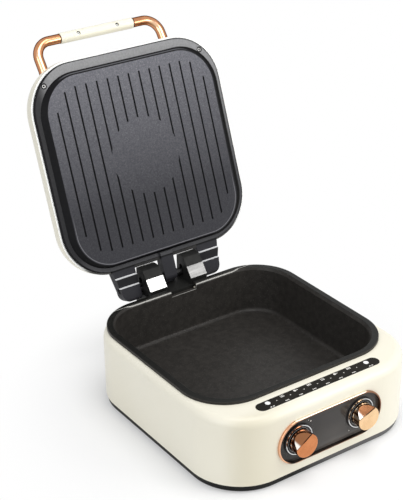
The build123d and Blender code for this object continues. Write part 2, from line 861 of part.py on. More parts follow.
def make_arm_plate():
    """Flat bright steel plate let into the lower part of the right-hand arm's leaning face."""
    lean = math.radians(arm_lean)
    up_y, up_z = math.sin(lean), math.cos(lean)
    low = (arm_front_y, arm_knee_z)
    high = (low[0] + arm_plate_length * up_y, low[1] + arm_plate_length * up_z)
    in_y = arm_plate_thickness * up_z
    in_z = -arm_plate_thickness * up_y
    section = polygon([low, high, (high[0] + in_y, high[1] + in_z),
                       (low[0] + in_y, low[1] + in_z)])
    return side_profile(section, arm_inner_x, arm_outer_x)


def make_arm():
    """Right-hand arm: a moulded core with an upright slot for the floating pin."""
    core = side_profile(arm_face(), arm_inner_x, arm_outer_x) - make_arm_plate()
    core += block(arm_inner_x + tenon_inset, arm_outer_x - tenon_inset, tenon_front_y, tenon_rear_y,
                  block_top_z - tenon_depth, block_top_z + 0.5)
    slot_radius = pin_radius + pin_play
    slot = rod_x(hinge_y, hinge_z, slot_radius, arm_inner_x - 1, arm_outer_x + 1)
    slot += rod_x(hinge_y, hinge_z + float_travel, slot_radius, arm_inner_x - 1, arm_outer_x + 1)
    slot += block(arm_inner_x - 1, arm_outer_x + 1, hinge_y - slot_radius, hinge_y + slot_radius,
                  hinge_z, hinge_z + float_travel)
    core -= slot
    core -= rod_y(arm_mid_x, arm_screw_z, arm_screw_radius + hole_gap,
                  arm_screw_tip_y - 1, tenon_rear_y + 1)
    return core


def block_screw_places():
    half = block_width / 2
    return [(side * (half - block_screw_inset), z) for side in (-1, 1)
            for z in (block_low_z + block_screw_inset,
                      block_top_z - tenon_depth - block_screw_drop)]


def make_hinge_block():
    half = block_width / 2
    body = block(-half, half, block_front_y, block_rear_y, block_low_z, block_top_z)
    rear_edges = body.faces().sort_by(Axis.Y)[-1].edges()
    side_edges = rear_edges.filter_by(Axis.Z)
    body = fillet(side_edges, block_round)
    body = fillet(body.faces().sort_by(Axis.Z)[0].edges().sort_by(Axis.Y)[1:],
                  block_low_round)
    for side in (-1, 1):
        near = side * (arm_inner_x + tenon_inset - hole_gap)
        far = side * (arm_outer_x - tenon_inset + hole_gap)
        left, right = sorted([near, far])
        body -= block(left, right, tenon_front_y - hole_gap, tenon_rear_y + hole_gap,
                      block_top_z - tenon_depth - hole_gap, block_top_z + 1)
        body -= rod_y(side * arm_mid_x, arm_screw_z, arm_screw_radius + hole_gap,
                      arm_screw_tip_y - 1, block_rear_y + 1)
        body -= rod_y(side * arm_mid_x, arm_screw_z, arm_screw_head_radius + hole_gap,
                      block_rear_y - arm_screw_head_height, block_rear_y + 1)
    for x, z in block_screw_places():
        body -= rod_y(x, z, screw_radius + hole_gap, block_front_y - 1,
                      block_front_y + screw_length + 1 - body_wall)
    return body


def make_block_screw(x, z):
    """Screw from inside the body's rear wall into the hinge block."""
    seat_y = body_rear_y - body_wall
    head = rod_y(x, z, screw_head_radius, seat_y - screw_head_height, seat_y)
    return head + rod_y(x, z, screw_radius, seat_y, seat_y + screw_length)


def make_arm_screw(x):
    head_front_y = block_rear_y - arm_screw_head_height
    head_rear_y = block_rear_y - arm_screw_head_sink
    head = rod_y(x, arm_screw_z, arm_screw_head_radius, head_front_y, head_rear_y)
    half = arm_screw_slot_width / 2
    reach = arm_screw_slot_reach
    for half_x, half_z in ((reach, half), (half, reach)):
        head -= block(x - half_x, x + half_x, head_rear_y - arm_screw_slot_depth, block_rear_y,
                      arm_screw_z - half_z, arm_screw_z + half_z)
    return head + rod_y(x, arm_screw_z, arm_screw_radius, arm_screw_tip_y, head_front_y)


# Front controls

def make_trim():
    """Bright ring on the front wall, with a sleeve that lines the window back to the panel."""
    ring = front_pill(panel_width, panel_height, panel_z, body_front_y - trim_proud, body_front_y)
    ring = fillet(ring.faces().sort_by(Axis.Y)[0].edges(), trim_round)
    sleeve_grow = 2 * (trim_sleeve - trim_width)
    ring += front_pill(panel_width + sleeve_grow, panel_height + sleeve_grow, panel_z,
                       body_front_y, body_inner_front_y)
    return ring - front_pill(panel_width - 2 * trim_width, panel_height - 2 * trim_width, panel_z,
                             body_front_y - trim_proud - 1, body_inner_front_y + 1)


def make_panel():
    face_width = panel_width - 2 * trim_width - 2 * housing_gap
    face_height = panel_height - 2 * trim_width - 2 * housing_gap
    plate = front_pill(face_width, face_height, panel_z, panel_face_y, body_inner_front_y)
    plate += front_pill(panel_width + 2 * panel_seat - 2 * trim_width,
                        panel_height + 2 * panel_seat - 2 * trim_width, panel_z,
                        body_inner_front_y, panel_back_y)
    for side in (-1, 1):
        plate -= rod_y(side * knob_x, knob_z, neck_radius + hole_gap, panel_face_y - 1,
                       panel_back_y + 1)
    return plate


def make_bracket():
    half_width = panel_width / 2 - bracket_inset_x
    half_height = panel_height / 2 - bracket_inset_z
    sheet = block(-half_width, half_width, panel_back_y, bracket_back_y, panel_z - half_height,
                  panel_z + half_height)
    for side in (-1, 1):
        sheet -= rod_y(side * knob_x, knob_z, neck_radius + hole_gap, panel_back_y - 1,
                       bracket_back_y + 1)
    return sheet


def make_switch(x):
    """Rotary control behind the panel, with the threaded neck that its shaft turns in."""
    rear_y = bracket_back_y + switch_depth
    box = block(x - switch_width / 2, x + switch_width / 2, bracket_back_y, rear_y,
                knob_z - switch_height / 2, knob_z + switch_height / 2)
    box = fillet(box.edges().filter_by(Axis.Y), switch_round)
    box += rod_y(x, knob_z, neck_radius, panel_face_y + neck_setback, bracket_back_y)
    for index in (-1, 0, 1):
        middle = x + index * switch_terminal_pitch
        box += block(middle - switch_terminal_width / 2, middle + switch_terminal_width / 2, rear_y,
                     rear_y + switch_terminal_length, knob_z - terminal_thickness / 2,
                     knob_z + terminal_thickness / 2)
    return box - rod_y(x, knob_z, shaft_radius + pin_play, panel_face_y,
                       shaft_rear_y + shaft_end_gap)


def make_shaft():
    """Shaft with a flat, centred on X = 0; its flat faces up at the knob's zero turn."""
    bar = rod_y(0, 0, shaft_radius, shaft_tip_y, shaft_rear_y)
    flat = block(-shaft_radius, shaft_radius, shaft_tip_y - 1, skirt_back_y, shaft_flat_height,
                 shaft_radius + 1)
    return bar - flat


def make_knob_body():
    """Black skirt disc, waist and the core under the metal cap."""
    disc = rod_y(0, 0, skirt_radius, skirt_face_y, skirt_back_y)
    disc = fillet(disc.faces().sort_by(Axis.Y)[0].edges(), skirt_edge_round)
    groove_outer = ring_radius + ring_width / 2 + hole_gap
    groove_inner = ring_radius - ring_width / 2 - hole_gap
    groove = rod_y(0, 0, groove_outer, skirt_face_y - 1, skirt_face_y + ring_depth)
    groove -= rod_y(0, 0, groove_inner, skirt_face_y - 2, skirt_face_y + ring_depth + 1)
    body = disc - groove
    body += rod_y(0, 0, waist_radius, cap_back_y, skirt_face_y)
    core = rod_y(0, 0, cap_radius - cap_wall - hole_gap, cap_face_y + cap_wall + hole_gap,
                 cap_back_y)
    body += core - facet_cut(cap_wall + hole_gap)
    bore = rod_y(0, 0, shaft_radius + hole_gap, shaft_tip_y - shaft_end_gap, skirt_back_y + 1)
    bore -= block(-shaft_radius - 1, shaft_radius + 1, shaft_tip_y - 1, skirt_back_y,
                  shaft_flat_height + hole_gap, shaft_radius + 1)
    return body - bore


def facet_cut(inset):
    """Wedge above the slanted finger facet; inset moves the facet into the cap."""
    slope = math.radians(facet_slope)
    reach = 2 * cap_radius
    start_z = facet_offset - inset * math.tan(slope / 2)
    start_y = cap_face_y + inset
    end_z = start_z + reach
    end_y = start_y + reach * math.tan(slope)
    face = polygon([(start_y, start_z), (start_y - reach, start_z), (start_y - reach, end_z),
                    (end_y, end_z)])
    return side_profile(face, -reach, reach)


def make_knob_cap():
    """Bright metal cap with one slanted finger facet across its face."""
    outer = rod_y(0, 0, cap_radius, cap_face_y, cap_back_y) - facet_cut(0)
    front_edges = outer.faces().sort_by(Axis.Y)[0].edges()
    outer = fillet(front_edges, cap_edge)
    inner = rod_y(0, 0, cap_radius - cap_wall, cap_face_y + cap_wall, cap_back_y + 1)
    return outer - (inner - facet_cut(cap_wall))


def make_knob_ring():
    ring = rod_y(0, 0, ring_radius + ring_width / 2, skirt_face_y - ring_proud,
                 skirt_face_y + ring_depth)
    return ring - rod_y(0, 0, ring_radius - ring_width / 2, skirt_face_y - ring_proud - 1,
                        skirt_face_y + ring_depth + 1)


def knob_place(shape, x, turn):
    """Turns a knob piece about the axis that points at the user, then moves it out."""
    turned = shape.rotate(Axis((0, 0, 0), (0, -1, 0)), turn)
    return turned.translate((x, 0, knob_z))


# Function strip

def make_strip():
    low_z = deck_under_z - strip_flange_thickness
    window = extrude(Pos(0, strip_y, deck_under_z) * SlotOverall(strip_length, strip_width),
                     body_wall + strip_proud)
    window = fillet(window.faces().sort_by(Axis.Z)[-1].edges(), strip_edge_round)
    outline = SlotOverall(strip_length + 2 * strip_flange_end,
                          strip_width + 2 * strip_flange_side)
    flange = extrude(Pos(0, strip_y, low_z) * outline, strip_flange_thickness)
    strip = window + flange
    for side in (-1, 1):
        strip -= post(side * lens_x, lens_y, lens_radius + hole_gap, low_z - 1,
                      deck_z + strip_proud + 1)
    return strip


def make_board():
    high_z = deck_under_z - strip_flange_thickness
    return block(-strip_length / 2 + board_inset, strip_length / 2 - board_inset,
                 strip_y - strip_width / 2 + board_inset, strip_y + strip_width / 2 - board_inset,
                 high_z - board_thickness, high_z)


def make_lens(x):
    low_z = deck_under_z - strip_flange_thickness
    return post(x, lens_y, lens_radius, low_z, deck_z + strip_proud + lens_proud)


# Power inlet

def blade_places():
    return [(inlet_x - blade_x, inlet_z + blade_low), (inlet_x, inlet_z + blade_high),
            (inlet_x + blade_x, inlet_z + blade_low)]


def make_inlet():
    half_w = inlet_outer_width / 2
    half_h = inlet_outer_height / 2
    body = block(inlet_x - half_w, inlet_x + half_w, inlet_back_y, body_rear_y, inlet_z - half_h,
                 inlet_z + half_h)
    plane = Plane(origin=(inlet_x, inlet_face_y, inlet_z), x_dir=(1, 0, 0), z_dir=(0, -1, 0))
    quarter = [(inlet_flange_width / 2, inlet_flange_height / 2),
               (inlet_ear_width / 2, inlet_ear_tip / 2)]
    right = [(x, -y) for x, y in quarter] + [(x, y) for x, y in reversed(quarter)]
    left = [(-x, -y) for x, y in right]
    body += extrude(plane * polygon(right + left), inlet_flange_thickness)
    mouth_w = inlet_mouth_width / 2
    mouth_h = inlet_mouth_height / 2
    mouth = block(inlet_x - mouth_w, inlet_x + mouth_w, inlet_floor_y, inlet_face_y + 1,
                  inlet_z - mouth_h, inlet_z + mouth_h)
    upper_edges = mouth.edges().filter_by(Axis.Y).sort_by(Axis.Z)[2:]
    body -= chamfer(upper_edges, inlet_mouth_chamfer)
    for x, z in blade_places():
        body -= block(x - blade_width / 2 - hole_gap, x + blade_width / 2 + hole_gap,
                      inlet_back_y - 1, inlet_floor_y + 1, z - blade_height / 2 - hole_gap,
                      z + blade_height / 2 + hole_gap)
    for x in (inlet_x - inlet_screw_x, inlet_x + inlet_screw_x):
        body -= rod_y(x, inlet_z, screw_radius + hole_gap, body_rear_y - 1, inlet_face_y + 1)
    return body


def make_blades():
    return [block(x - blade_width / 2, x + blade_width / 2, inlet_back_y - blade_tail,
                  inlet_face_y - blade_setback, z - blade_height / 2, z + blade_height / 2)
            for x, z in blade_places()]


def make_inlet_screw(x):
    head_rear_y = inlet_face_y + screw_head_height
    head = rod_y(x, inlet_z, inlet_screw_head_radius, inlet_face_y, head_rear_y)
    head = fillet(head.faces().sort_by(Axis.Y)[-1].edges(), screw_head_round)
    head -= block(x - screw_radius, x + screw_radius, head_rear_y - screw_slot_depth,
                  head_rear_y + 1, inlet_z - screw_slot_width / 2, inlet_z + screw_slot_width / 2)
    return head + rod_y(x, inlet_z, screw_radius, inlet_face_y - inlet_screw_length, inlet_face_y)


# Lid

def make_lid_shell():
    outer_grow = 2 * (lid_wall + housing_gap)
    width = bezel_width + outer_grow
    depth = bezel_depth + outer_grow
    corner = bezel_corner + lid_wall + housing_gap
    outer = slab(width, depth, corner, lid_low_z, lid_top_z, bezel_mid_y)
    outer = fillet(outer.faces().sort_by(Axis.Z)[-1].edges(), lid_round)
    inner_top = lid_top_z - lid_wall
    inner = slab(width - 2 * lid_wall, depth - 2 * lid_wall, corner - lid_wall, lid_low_z,
                 inner_top, bezel_mid_y)
    inner = fillet(inner.faces().sort_by(Axis.Z)[-1].edges(), lid_round - lid_wall)
    shell = outer - inner
    rear_y = bezel_mid_y + depth / 2
    pass_top = bezel_z + ear_top_lift + 2 * housing_gap
    for left, right in ((ear_inner_x, ear_root_x), (-ear_root_x, -ear_inner_x)):
        shell -= block(left - 2 * housing_gap, right + 2 * housing_gap, rear_y - 3 * lid_wall,
                       rear_y + 1, lid_low_z - 1, pass_top)
    tab_half_width = tab_width / 2 + 2 * housing_gap
    shell -= block(-tab_half_width, tab_half_width, rear_y - 3 * lid_wall, rear_y + 1,
                   lid_low_z - 1, pass_top)
    posts = [(side * post_x, y) for side in (-1, 1) for y in (post_front_y, post_rear_y)]
    for x, y in posts:
        shell += post(x, y, post_radius, flange_top_z, lid_top_z) & outer
    for x in (-bezel_screw_x, bezel_screw_x):
        shell += post(x, bezel_screw_y, bezel_boss_radius, bezel_top_z, lid_top_z) & outer
        shell -= post(x, bezel_screw_y, screw_radius + hole_gap, bezel_top_z - 1,
                      bezel_screw_seat_z + bezel_screw_length + 1)
    for x, y in handle_screw_places():
        shell -= post(x, y, screw_radius + hole_gap, inner_top - 1, lid_top_z + 1)
    return shell


def make_plan_ear():
    """Plan outline of the right-hand ear."""
    front_y = ear_root_y - overshoot
    corners = [(ear_inner_x, front_y), (ear_root_x, front_y),
               (ear_root_x, ear_root_y + ear_root_run), (ear_tip_x, ear_tip_y),
               (ear_tip_x, ear_rear_y), (ear_inner_x, ear_rear_y)]
    low_z = bezel_z - ear_face_drop - overshoot
    prism = extrude(Pos(0, 0, low_z) * polygon(corners), ear_face_drop + ear_top_lift + 2 * overshoot)
    upright = prism.edges().filter_by(Axis.Z)
    rear = upright.sort_by(Axis.Y)[-2:]
    outer_edge = rear.sort_by(Axis.X)[-1]
    prism = fillet(outer_edge, ear_round)
    rear = prism.edges().filter_by(Axis.Z).sort_by(Axis.Y)[-1]
    return fillet(rear, ear_inner_round)


def make_ear():
    """Hinge ear of the lid with its stepped face, closed pose."""
    face_z = bezel_z - ear_face_drop
    top_z = bezel_z + ear_top_lift
    valley_z = bezel_z - ear_valley
    outline = polygon([
        (ear_root_y, bezel_z), (ear_step_y, bezel_z),
        (ear_step_y + ear_step_run, face_z + ear_step_rise),
        (ear_ridge_y, valley_z), (ear_ridge_y + ear_step_run, face_z), (ear_rear_y, face_z),
        (ear_rear_y, top_z), (ear_root_y, top_z)])
    ear = side_profile(outline, ear_inner_x, ear_root_x)
    rear_edges = ear.edges().filter_by(Axis.X).sort_by(Axis.Y)[-2:]
    ear = fillet(rear_edges, ear_edge_round)
    ear = ear & make_plan_ear()
    return ear - rod_x(hinge_y, hinge_z, pin_radius + pin_play, ear_inner_x - 1, ear_root_x + 1)


def make_tab():
    """Centre tab of the lid with the heel that stops it when open, closed pose."""
    low_z = hinge_z - tab_half
    high_z = hinge_z + tab_half
    half = tab_width / 2
    neck = block(-half, half, ear_root_y, hinge_y, low_z, high_z)
    neck += block(-half, half, tab_front_y, ear_root_y + 1, low_z, bezel_top_z)
    barrel = rod_x(hinge_y, hinge_z, tab_half, -half, half)
    heel = block(-half, half, hinge_y, hinge_y + heel_length, block_top_z, hinge_z)
    heel = heel.rotate(Axis((0, hinge_y, hinge_z), (1, 0, 0)), open_angle)
    tab = neck + barrel + heel
    return tab - rod_x(hinge_y, hinge_z, pin_radius + pin_play, -half - 1, half + 1)


def make_bezel():
    ring = slab(bezel_width, bezel_depth, bezel_corner, bezel_z, bezel_top_z + bezel_upstand,
                bezel_mid_y)
    ring = fillet(ring.faces().sort_by(Axis.Z)[0].edges(), bezel_edge_round)
    inset = 2 * bezel_upstand_wall
    ring -= slab(bezel_width - inset, bezel_depth - inset, bezel_corner - bezel_upstand_wall,
                 bezel_top_z, bezel_top_z + bezel_upstand + 1, bezel_mid_y)
    ring -= slab(plate_foot_width + 2 * plate_gap, plate_foot_depth + 2 * plate_gap,
                 plate_foot_corner + plate_gap, bezel_z - 1, bezel_top_z + 1, plate_foot_mid_y)
    ear = make_ear()
    bezel = ring + ear + mirrored(ear) + make_tab()
    for x in (-bezel_screw_x, bezel_screw_x):
        bezel -= post(x, bezel_screw_y, screw_radius + hole_gap, bezel_z - 1, bezel_top_z + 1)
        bezel -= post(x, bezel_screw_y, screw_head_radius + housing_gap, bezel_z - 1,
                      bezel_screw_seat_z)
    return bezel


def groove_length_of(index):
    """Length of groove number index, counted from the middle."""
    last = (groove_count - 1) // 2
    if abs(index) == last:
        return groove_length - edge_groove_cut
    if abs(index) == last - 1:
        return groove_length - second_groove_cut
    return groove_length


def make_grooves():
    """Cutters for the grooves, with the round field in the middle left plain."""
    low_z = plate_face_z - 1
    cutters = []
    half = (groove_count - 1) // 2
    disc = post(0, groove_mid_y, disc_radius, low_z - 1, plate_face_z + groove_depth + 1)
    for index in range(-half, half + 1):
        length = groove_length_of(index)
        x = index * groove_pitch
        outline = Pos(x, groove_mid_y, low_z) * Rot(0, 0, 90) * SlotOverall(length, groove_width)
        cutter = extrude(outline, 1 + groove_depth)
        if abs(x) < disc_radius:
            cutter -= disc
        cutters.append(cutter)
    return cutters


def make_grill_plate():
    back_z = plate_face_z + plate_thickness
    face = Pos(0, plate_mid_y, plate_face_z) * RectangleRounded(plate_width, plate_depth,
                                                                plate_corner)
    foot = Pos(0, plate_foot_mid_y, bezel_z) * RectangleRounded(plate_foot_width,
                                                                plate_foot_depth,
                                                                plate_foot_corner)
    dome = loft([face, foot], ruled=True)
    dome = fillet(dome.faces().sort_by(Axis.Z)[0].edges(), plate_edge_round)
    dome += slab(plate_foot_width, plate_foot_depth, plate_foot_corner, bezel_z, flange_top_z,
                 plate_foot_mid_y)
    flange_width = bezel_width - 2 * (bezel_upstand_wall + flange_side_gap)
    flange_front_y = plate_foot_front_y - flange_front
    flange_rear_y = bezel_rear_y - bezel_upstand_wall - flange_rear_gap
    dome += slab(flange_width, flange_rear_y - flange_front_y, plate_foot_corner + flange_front,
                 bezel_top_z, flange_top_z, (flange_front_y + flange_rear_y) / 2)
    inner_face = Pos(0, plate_mid_y, back_z) * RectangleRounded(
        plate_width - 2 * plate_thickness, plate_depth - 2 * plate_thickness,
        plate_corner - plate_thickness)
    inner_foot = Pos(0, plate_foot_mid_y, bezel_z + plate_thickness) * RectangleRounded(
        plate_foot_width - 2 * plate_thickness, plate_foot_depth - 2 * plate_thickness,
        plate_foot_corner - plate_thickness)
    hollow = loft([inner_face, inner_foot], ruled=True)
    hollow += slab(plate_foot_width - 2 * plate_thickness, plate_foot_depth - 2 * plate_thickness,
                   plate_foot_corner - plate_thickness, bezel_z + plate_thickness, flange_top_z + 1,
                   plate_foot_mid_y)
    plate = dome - hollow
    for x in (-bezel_screw_x, bezel_screw_x):
        plate -= post(x, bezel_screw_y, bezel_boss_radius + plate_gap, bezel_top_z - 1,
                      flange_top_z + 1)
    for cutter in make_grooves():
        plate -= cutter
    for x, y in heater_boss_places():
        plate += post(x, y, heater_boss_radius, back_z - 0.5, back_z + heater_boss_height)
        plate -= post(x, y, stud_radius + hole_gap, back_z + heater_boss_height - stud_grip - 1,
                      back_z + heater_boss_height + 1)
    return plate


def upper_place(shape):
    """The upper pack stands on the back of the grill plate."""
    moved = shape.translate((0, mouth_mid_y, plate_face_z + plate_thickness))
    return opened(moved)


def make_reflector_screws():
    """Hex screws that hold the upper reflector on the grill plate."""
    seat_z = plate_face_z + plate_thickness + heater_boss_height + reflector_sheet
    screws = []
    for x, y in heater_boss_places():
        head = extrude(Pos(x, y, seat_z) * RegularPolygon(nut_radius, 6), nut_height)
        screws.append(head + post(x, y, stud_radius, seat_z - reflector_sheet - stud_grip, seat_z))
    return screws


# Handle

def handle_slope():
    """Angle at which the legs rise from the lid's top to the grip."""
    return math.atan2(handle_bar_z - leg_z, handle_elbow_y - handle_bar_y)


def bow_path():
    """Centre line of the bow from foot to foot."""
    side = [(handle_foot_y, leg_z), (handle_elbow_y, leg_z), (handle_bar_y, handle_bar_z)]
    left = [(-handle_leg_x, y, z) for y, z in side]
    right = [(handle_leg_x, y, z) for y, z in reversed(side)]
    return FilletPolyline(*left, *right, radius=handle_bend)


def bow_solid(radius):
    path = bow_path()
    return sweep(Plane(origin=path @ 0, z_dir=path % 0) * Circle(radius), path=path)


def make_handle_tube():
    bow = bow_solid(handle_tube_radius)
    half = grip_length / 2
    ring = rod_x(handle_bar_y, handle_bar_z, handle_tube_radius + 2, -half, half)
    ring -= rod_x(handle_bar_y, handle_bar_z, handle_core_radius, -half - 1, half + 1)
    bow -= ring
    for x in (-grip_screw_x, grip_screw_x):
        bow -= grip_rod(x, grip_screw_radius + hole_gap, -handle_tube_radius - 2,
                        handle_tube_radius + 2)
    return bow


def grip_plane(x):
    """Plane across the grip at x whose normal points up off the lid."""
    slope = handle_slope()
    return Plane(origin=(x, handle_bar_y, handle_bar_z), x_dir=(1, 0, 0),
                 z_dir=(0, math.sin(slope), math.cos(slope)))


def grip_rod(x, radius, low, high):
    """Round bar through the grip, from low to high along its screw direction."""
    plane = grip_plane(x)
    return extrude(plane.offset(low) * Circle(radius), high - low)


def make_grip():
    """Both halves of the grip: the lower with screw wells, the upper with blind bores."""
    half = grip_length / 2
    sleeve = rod_x(handle_bar_y, handle_bar_z, grip_radius, -half, half)
    sleeve = fillet(sleeve.edges().filter_by(GeomType.CIRCLE), grip_end_round)
    sleeve -= rod_x(handle_bar_y, handle_bar_z, handle_core_radius + hole_gap, -half - 1, half + 1)
    cut = extrude(grip_plane(0) * Rectangle(grip_length + 10, 4 * grip_radius), 3 * grip_radius)
    upper = sleeve & cut
    lower = sleeve - cut
    seat = -grip_radius + grip_screw_sink + grip_screw_head_height
    for x in (-grip_screw_x, grip_screw_x):
        bore = grip_rod(x, grip_screw_radius + hole_gap, -grip_radius - 1,
                        seat + grip_screw_length + grip_screw_end_gap)
        lower -= bore
        upper -= bore
        lower -= grip_rod(x, grip_screw_head_radius + hole_gap, -grip_radius - 1, seat)
    return lower, upper


def make_grip_screw(x):
    seat = -grip_radius + grip_screw_sink + grip_screw_head_height
    head = grip_rod(x, grip_screw_head_radius, seat - grip_screw_head_height, seat)
    plane = grip_plane(x).offset(seat - grip_screw_head_height)
    recess = extrude(plane * Rectangle(grip_slot_reach, grip_slot_width), grip_slot_depth)
    recess += extrude(plane * Rectangle(grip_slot_width, grip_slot_reach), grip_slot_depth)
    return head - recess + grip_rod(x, grip_screw_radius, seat, seat + grip_screw_length)


def handle_screw_places():
    offset = foot_block_length / 4
    return [(side * handle_leg_x, foot_block_mid_y + offset) for side in (-1, 1)]


def make_handle_foot(side):
    """Metal saddle on the lid's top that holds one end of the bow."""
    x = side * handle_leg_x
    outline = Pos(x, foot_block_mid_y, lid_top_z) * RectangleRounded(
        foot_block_width, foot_block_length, foot_block_width / 2 - foot_block_end)
    saddle = extrude(outline, foot_block_height)
    saddle = fillet(saddle.faces().sort_by(Axis.Z)[-1].edges(), foot_block_round)
    return saddle


def make_handle_feet():
    """Both saddles, bored for the bow and for the screws from inside the lid."""
    feet = []
    bow = bow_solid(handle_tube_radius + hole_gap)
    for side in (-1, 1):
        foot = make_handle_foot(side) - bow
        for x, y in handle_screw_places():
            foot -= post(x, y, screw_radius + hole_gap, lid_top_z - 1,
                         lid_top_z - lid_wall + screw_length + 1)
        feet.append(foot)
    return feet


def make_pin():
    end_x = ear_root_x - pin_end_setback
    return rod_x(hinge_y, hinge_z, pin_radius, -end_x, end_x)


def make_pin_collar(side):
    """Retaining collar on the pin between the tab and an arm."""
    near = side * (tab_width / 2 + collar_side_gap)
    far = side * (arm_inner_x - collar_side_gap)
    left, right = sorted([near, far])
    collar = rod_x(hinge_y, hinge_z, pin_radius + collar_wall, left, right)
    return collar - rod_x(hinge_y, hinge_z, pin_radius + hole_gap, left - 1, right + 1)


def build_base():
    save("base_shell", make_base_shell())
    save("bottom_cover", make_bottom_cover())
    save("rubber_feet", joined(make_foot(x, y) for x, y in foot_places()))
    save("bottom_screws", joined(upright_screw(x, y, cover_low_z, screw_length + cover_floor)
                                 for x, y in side_boss_places() + heater_boss_places()))
    save("lower_pan", make_lower_pan())
    save("pan_standoffs", joined(make_standoffs()))
    heater_pack("lower", lower_place, ["heating_element", "reflector", "element_beads",
                                       "thermostat", "thermostat_clip", "thermal_fuse"])


def build_hinge():
    save("hinge_block", make_hinge_block())
    save("hinge_block_screws", joined(make_block_screw(x, z) for x, z in block_screw_places()))
    arm = make_arm()
    cover = make_arm_plate()
    save("hinge_arm_right", arm)
    save("hinge_arm_left", mirrored(arm))
    save("arm_cover_right", cover)
    save("arm_cover_left", mirrored(cover))
    save("arm_screws", joined(make_arm_screw(side * arm_mid_x) for side in (-1, 1)))
    save("hinge_pin", make_pin())
    save("pin_collars", joined(make_pin_collar(side) for side in (-1, 1)))


def build_controls():
    save("control_trim", make_trim())
    save("control_panel", make_panel())
    save("switch_bracket", make_bracket())
    for name, x, turn in (("left", -knob_x, left_knob_turn), ("right", knob_x, right_knob_turn)):
        save(name + "_switch", make_switch(x))
        save(name + "_knob_shaft", knob_place(make_shaft(), x, turn))
        save(name + "_knob_body", knob_place(make_knob_body(), x, turn))
        save(name + "_knob_cap", knob_place(make_knob_cap(), x, turn))
        save(name + "_knob_ring", knob_place(make_knob_ring(), x, turn))
    save("function_strip", make_strip())
    save("indicator_board", make_board())
    save("indicator_lens_left", make_lens(-lens_x))
    save("indicator_lens_right", make_lens(lens_x))


def build_inlet():
    save("power_inlet", make_inlet())
    save("inlet_blades", joined(make_blades()))
    save("inlet_screws", joined(make_inlet_screw(x) for x in (inlet_x - inlet_screw_x,
                                                               inlet_x + inlet_screw_x)))


def build_lid():
    save("lid_shell", opened(make_lid_shell()))
    save("lid_bezel", opened(make_bezel()))
    save("grill_plate", opened(make_grill_plate()))
    heater_pack("upper", upper_place, ["heating_element", "reflector", "element_beads",
                                       "thermostat", "thermostat_clip", "thermal_fuse"])
    save("reflector_screws", opened(joined(make_reflector_screws())))
    bezel_screws = [upright_screw(x, bezel_screw_y, bezel_screw_seat_z, bezel_screw_length)
                    for x in (-bezel_screw_x, bezel_screw_x)]
    save("bezel_screws", opened(joined(bezel_screws)))


def build_handle():
    lower, upper = make_grip()
    save("handle_tube", opened(make_handle_tube()))
    save("grip_lower", opened(lower))
    save("grip_upper", opened(upper))
    save("grip_screws", opened(joined(make_grip_screw(x) for x in (-grip_screw_x, grip_screw_x))))
    feet = make_handle_feet()
    save("handle_foot_left", opened(feet[0]))
    save("handle_foot_right", opened(feet[1]))
    screws = [upright_screw(x, y, lid_top_z - lid_wall) for x, y in handle_screw_places()]
    save("handle_foot_screws", opened(joined(screws)))


build_base()
build_hinge()
build_controls()
build_inlet()
build_lid()
build_handle()
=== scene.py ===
# %% [markdown]
# # An electric skillet with a grill plate in its lid
#
# The appliance is a square ivory body with a deep coated pan, and a lid that stands open with
# a grooved plate inside. Its solid pieces come ready made, in metres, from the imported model.
# This lesson gives every surface its finish, adds the printed marks and the thin bright lines
# that are too fine for the solids, and sets up a plain studio with one camera.

import json
import math

import bmesh
import bpy
from mathutils import Matrix, Vector


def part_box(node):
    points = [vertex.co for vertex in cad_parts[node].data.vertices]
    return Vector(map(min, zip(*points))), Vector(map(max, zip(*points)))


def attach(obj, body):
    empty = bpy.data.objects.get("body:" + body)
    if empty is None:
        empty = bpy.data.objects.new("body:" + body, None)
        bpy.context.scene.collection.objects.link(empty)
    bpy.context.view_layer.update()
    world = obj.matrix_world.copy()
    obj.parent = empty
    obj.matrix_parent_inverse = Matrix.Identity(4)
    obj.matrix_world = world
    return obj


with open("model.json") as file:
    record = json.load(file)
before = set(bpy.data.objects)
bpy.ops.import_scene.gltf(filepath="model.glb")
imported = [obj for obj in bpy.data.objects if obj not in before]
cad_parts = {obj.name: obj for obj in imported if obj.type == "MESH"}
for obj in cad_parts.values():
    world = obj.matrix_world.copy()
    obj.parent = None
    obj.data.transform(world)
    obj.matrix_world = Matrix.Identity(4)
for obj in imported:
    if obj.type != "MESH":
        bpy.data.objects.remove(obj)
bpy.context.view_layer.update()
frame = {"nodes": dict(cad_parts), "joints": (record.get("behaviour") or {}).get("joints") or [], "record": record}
nodes = frame["nodes"]
MM = 0.001

# %% [markdown]
# ## Camera
#
# The picture is an upright one, taken from the front left and a little above the lid's hinge.
# The camera could be aimed with a constraint, but a constraint hides the numbers. Here the
# three axes of the camera are worked out from its azimuth, elevation and roll, so each of the
# three angles can be changed by itself. A lens of almost 100 mm keeps the edges nearly parallel.

# %% Camera
camera_azimuth = math.radians(-34.657)
camera_elevation = math.radians(27.2205)
camera_roll = math.radians(-0.756)
camera_place = Vector((-0.9600, -1.2718, 1.0649))
camera_lens = 96.51

backwards = Vector((math.sin(camera_azimuth) * math.cos(camera_elevation),
                    -math.cos(camera_azimuth) * math.cos(camera_elevation),
                    math.sin(camera_elevation)))
level_right = Vector((math.cos(camera_azimuth), math.sin(camera_azimuth), 0))
level_up = backwards.cross(level_right)
right = level_right * math.cos(camera_roll) + level_up * math.sin(camera_roll)
up = level_up * math.cos(camera_roll) - level_right * math.sin(camera_roll)

